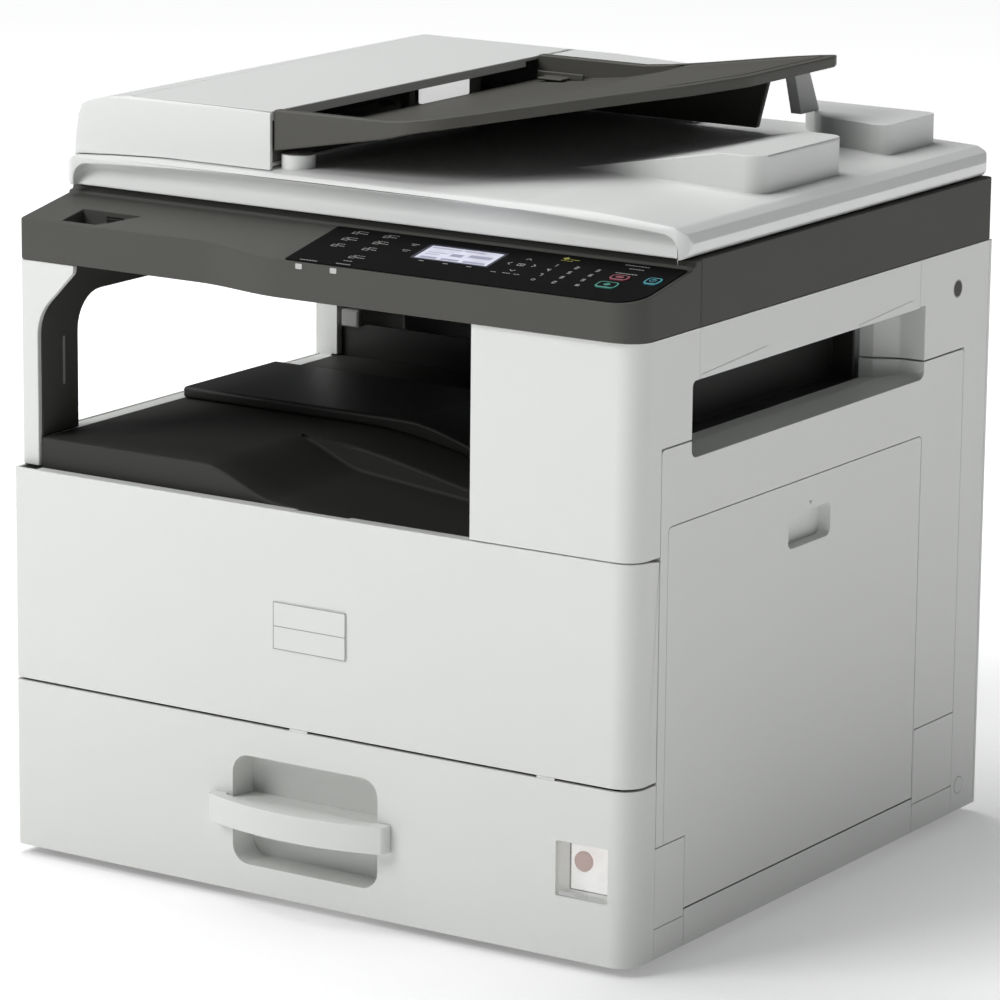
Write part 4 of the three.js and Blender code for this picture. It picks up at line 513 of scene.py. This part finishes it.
def make_key_faces():
    """A black face on each coloured key leaves a coloured border; the symbol is on top."""
    top = 1.9
    for body, slot, colour, (a, b, w, h) in (
            ("start", "green", GREEN, (249.5, 27.5, 9.0, 6.0)),
            ("stop", "red", RED, (250.5, 44.0, 8.0, 5.0)),
            ("energy_saver", "blue", CYAN, (279.0, 45.0, 6.5, 6.5))):
        inset = 1.5
        face = box_shape(a - w + inset, a + w - inset, b - h + inset, b + h - inset, 2.6)
        raised(f"{body}_face", [face], panel_plane, top - 0.2, top + 0.08, SHEET_BLACK, body)
        if body == "start":
            sign = [np.array([[a, b - 3], [a + 3.4, b], [a, b + 3], [a - 3.4, b]])]
        elif body == "stop":
            sign = [box_shape(a - 3.4, a + 3.4, b - 1.5, b + 1.5, 1.2)]
        else:
            sign = ring(round_shape(a, b, 2.5, 16), 0.9) + [stroke((a, b + 0.6), (a, b + 3.0), 0.9)]
        raised(f"{body}_sign", sign, panel_plane, top, top + 0.16, colour, body)


def make_screen_detail():
    """Dark frame round the screen, and grey fields and lines shown on it."""
    frame_bars = [box_shape(69.0, 140.0, 31.9, 33.9), box_shape(69.0, 140.0, 61.6, 63.6),
                  box_shape(69.0, 71.4, 31.9, 63.6), box_shape(137.6, 140.0, 31.9, 63.6)]
    raised("screen_frame", frame_bars, panel_plane, 0.7, 1.2, NAVY, "machine")
    ink = [box_shape(74, 100, 57.2, 58.6), box_shape(104, 122, 57.2, 58.6), box_shape(113, 133, 46.5, 52.0),
           box_shape(75, 93, 48.2, 49.2), box_shape(75, 88, 44.0, 45.0), box_shape(97, 108, 44.5, 50.0),
           box_shape(75, 90, 36.0, 39.4), box_shape(94, 110, 36.0, 39.4), box_shape(114, 134, 36.0, 39.4)]
    raised("screen_ink", ink, panel_plane, 0.79, 0.86, SCREEN_INK, "machine")


def make_front_detail():
    """Lamps, badge lines, tabs in the door's lower gap, and the switch's backing and lip."""
    lamps = [box_shape(start, start + 6.0, 508.2, 512.4, 0.6) for start in (-13.2, 19.0)]
    raised("status_lamps", lamps, front_plane(-2.5), -0.1, 0.35, PALE_GREY, "machine")
    badge = ring(box_shape(-35.5, 32.5, 204.0, 241.5), 0.6) + [stroke((-35.5, 222.3), (32.5, 222.3), 0.6)]
    for name, start, end, set_back in (("left", -20.9, -3.7, 0.9), ("right", 208.3, 224.5, 2.5)):
        raised(f"gap_tab_{name}", [box_shape(start, end, 139.1, 140.9)], front_plane(set_back),
               0.0, 0.5, WHITE, "door")
    raised("badge_lines", badge, front_plane(-0.8), -0.02, 0.06, GREY, "door")
    x, z = SWITCH
    # The switch's backing has painted light: an even glow keeps it bright behind the window, though it is
    # no lamp.
    raised("switch_backing", [box_shape(x - 22.6, x + 22.6, z - 21.6, z + 21.6)], front_plane(23.9),
           0.0, 0.6, PAINTED_GLOW, "machine")
    raised("window_lip", [box_shape(x - 20, x + 20, z - 20.8, z - 17.2, 0.8)], front_plane(2.2),
           -0.1, 0.5, PALE_GREY, "window")


def make_side_detail():
    """Screw plugs, tabs and arrow on the right side, and the slot in the left post's liner."""
    plugs = [(526.0, 22.0), (498.6, 450.0)]
    # Painted shade: a grey ring just round each plug stands for the shade in its groove; no groove is cut.
    raised("plug_groove_shade", [round_shape(a, b, 7.6, 40) for a, b in plugs], side_plane(SIDE),
           -0.3, 0.04, GREY, "machine")
    raised("screw_plug", [round_shape(526.0, 22.0, 6.9, 40)], side_plane(SIDE),
           -0.2, 0.28, WHITE, "machine")
    raised("screw_cover", [round_shape(498.6, 450.0, 6.4, 40)], side_plane(SIDE),
           -0.2, 0.2, BAND, "machine")
    tabs = [np.array([[start, 443.7], [end, 443.7], [end, rise - 1.2], [end - 4, rise], [start, rise - 6]])
            for start, end, rise in ((92.0, 192.7, 452.8), (335.0, 425.3, 451.8))]
    raised("cover_tabs", tabs, side_plane(SIDE), -0.1, 0.35, WHITE, "machine")
    raised("pull_arrow", [np.array([[260.8, 317.2], [263.2, 314.2], [265.6, 317.2]])], side_plane(SIDE),
           -0.1, 0.08, GREY, "bypass")
    raised("liner_recess", [box_shape(43.2, 48.8, 375.5, 419.0, 2.6)], side_plane(-276.5),
           -0.1, 0.22, TRAY_DARK, "machine")
    raised("liner_slot", [box_shape(44.6, 47.4, 377.5, 417.0, 1.3)], side_plane(-276.5),
           0.1, 0.36, GREY, "machine")


def make_hidden_detail():
    """Small pale pieces seen in the shade: beside the rear post, and under the feeder's lip a pad with
    painted light.
    """
    raised("bay_sensor", [box_shape(-268.0, -250.0, 366.0, 381.0, 1.5)], front_plane(429.4),
           0.0, 6.0, GREY, "machine")
    # The pad has painted light: its glow stands in for the bright background seen through an opening there,
    # though it is no lamp.
    raised("separation_pad", [box_shape(299.0, 371.0, 590.0, 603.5, 2.0)], side_plane(-104.0),
           0.0, 2.5, PAINTED_GLOW, "lid")


make_panel_print()
make_key_faces()
make_screen_detail()
make_front_detail()
make_side_detail()
make_hidden_detail()


# ---- stage, lights and camera ----

def area_light(name, place, target, size, power):
    """A square soft light at place, facing target."""
    data = bpy.data.lights.new(name, "AREA")
    data.shape = "SQUARE"
    data.size = size
    data.energy = power
    obj = bpy.data.objects.new(name, data)
    obj.location = place
    obj.rotation_mode = "QUATERNION"
    obj.rotation_quaternion = (Vector(target) - Vector(place)).to_track_quat("-Z", "Y")
    bpy.context.scene.collection.objects.link(obj)


FLOOR_HALF = 30.0
FLOOR_FADE = {"From Min": 0.38, "From Max": 1.3, "To Min": 0.24, "To Max": 0.78}
WORLD_STRENGTH = 0.11


def make_stage():
    """A floor that glows more away from the machine, a dim world and two soft lights."""
    size = FLOOR_HALF
    corners = np.array([[-size, -size, 0], [size, -size, 0], [size, size, 0], [-size, size, 0]])
    mesh = bpy.data.meshes.new("floor")
    mesh.from_pydata(corners.tolist(), [], [(0, 1, 2, 3)])
    material, shader = blank_material("floor_pale")
    tree = material.node_tree
    shader.inputs["Base Color"].default_value = (0.9, 0.9, 0.9, 1.0)
    shader.inputs["Roughness"].default_value = 0.85
    shader.inputs["Specular IOR Level"].default_value = 0.1
    shader.inputs["Emission Color"].default_value = (1.0, 1.0, 1.0, 1.0)
    spot = tree.nodes.new("ShaderNodeTexCoord")
    reach = tree.nodes.new("ShaderNodeVectorMath")
    reach.operation = "LENGTH"
    tree.links.new(spot.outputs["Object"], reach.inputs[0])
    fade = tree.nodes.new("ShaderNodeMapRange")
    fade.interpolation_type = "SMOOTHSTEP"
    for label, value in FLOOR_FADE.items():
        fade.inputs[label].default_value = value
    tree.links.new(reach.outputs["Value"], fade.inputs["Value"])
    tree.links.new(fade.outputs["Result"], shader.inputs["Emission Strength"])
    mesh.materials.append(material)
    floor = bpy.data.objects.new("floor", mesh)
    bpy.context.scene.collection.objects.link(floor)
    world = bpy.data.worlds.new("studio")
    world.use_nodes = True
    world.node_tree.nodes["Background"].inputs["Color"].default_value = (0.95, 0.97, 1.0, 1.0)
    world.node_tree.nodes["Background"].inputs["Strength"].default_value = WORLD_STRENGTH
    bpy.context.scene.world = world
    area_light("key_light", (-2.2, -3.2, 3.2), (0.0, 0.0, 0.35), 2.4, 113.0)
    area_light("top_light", (-0.9, 0.2, 3.4), (0.0, 0.0, 0.5), 2.2, 66.0)


CAMERA_PLACE = (2.20863, -3.39885, 1.22925)
CAMERA_TURN = math.radians(33.06)
CAMERA_PITCH = math.radians(13.13)
CAMERA_ROLL = math.radians(0.573)
SENSOR_WIDTH = 36.0
FOCAL_LENGTH = 183.04


def make_camera():
    """Looks along -back; right and up are turned about it by the roll."""
    turn, pitch, roll = CAMERA_TURN, CAMERA_PITCH, CAMERA_ROLL
    back = Vector((math.sin(turn) * math.cos(pitch), -math.cos(turn) * math.cos(pitch), math.sin(pitch)))
    right = Vector((math.cos(turn), math.sin(turn), 0.0))
    up = back.cross(right)
    right, up = (
        math.cos(roll) * right + math.sin(roll) * up,
        -math.sin(roll) * right + math.cos(roll) * up,
    )
    data = bpy.data.cameras.new("camera")
    data.sensor_width = SENSOR_WIDTH
    data.lens = FOCAL_LENGTH
    data.clip_end = 100.0
    obj = bpy.data.objects.new("camera", data)
    obj.matrix_world = Matrix((
        (right.x, up.x, back.x, CAMERA_PLACE[0]),
        (right.y, up.y, back.y, CAMERA_PLACE[1]),
        (right.z, up.z, back.z, CAMERA_PLACE[2]),
        (0, 0, 0, 1),
    ))
    bpy.context.scene.collection.objects.link(obj)
    bpy.context.scene.camera = obj


make_stage()
make_camera()
bpy.context.scene.view_settings.view_transform = "Standard"
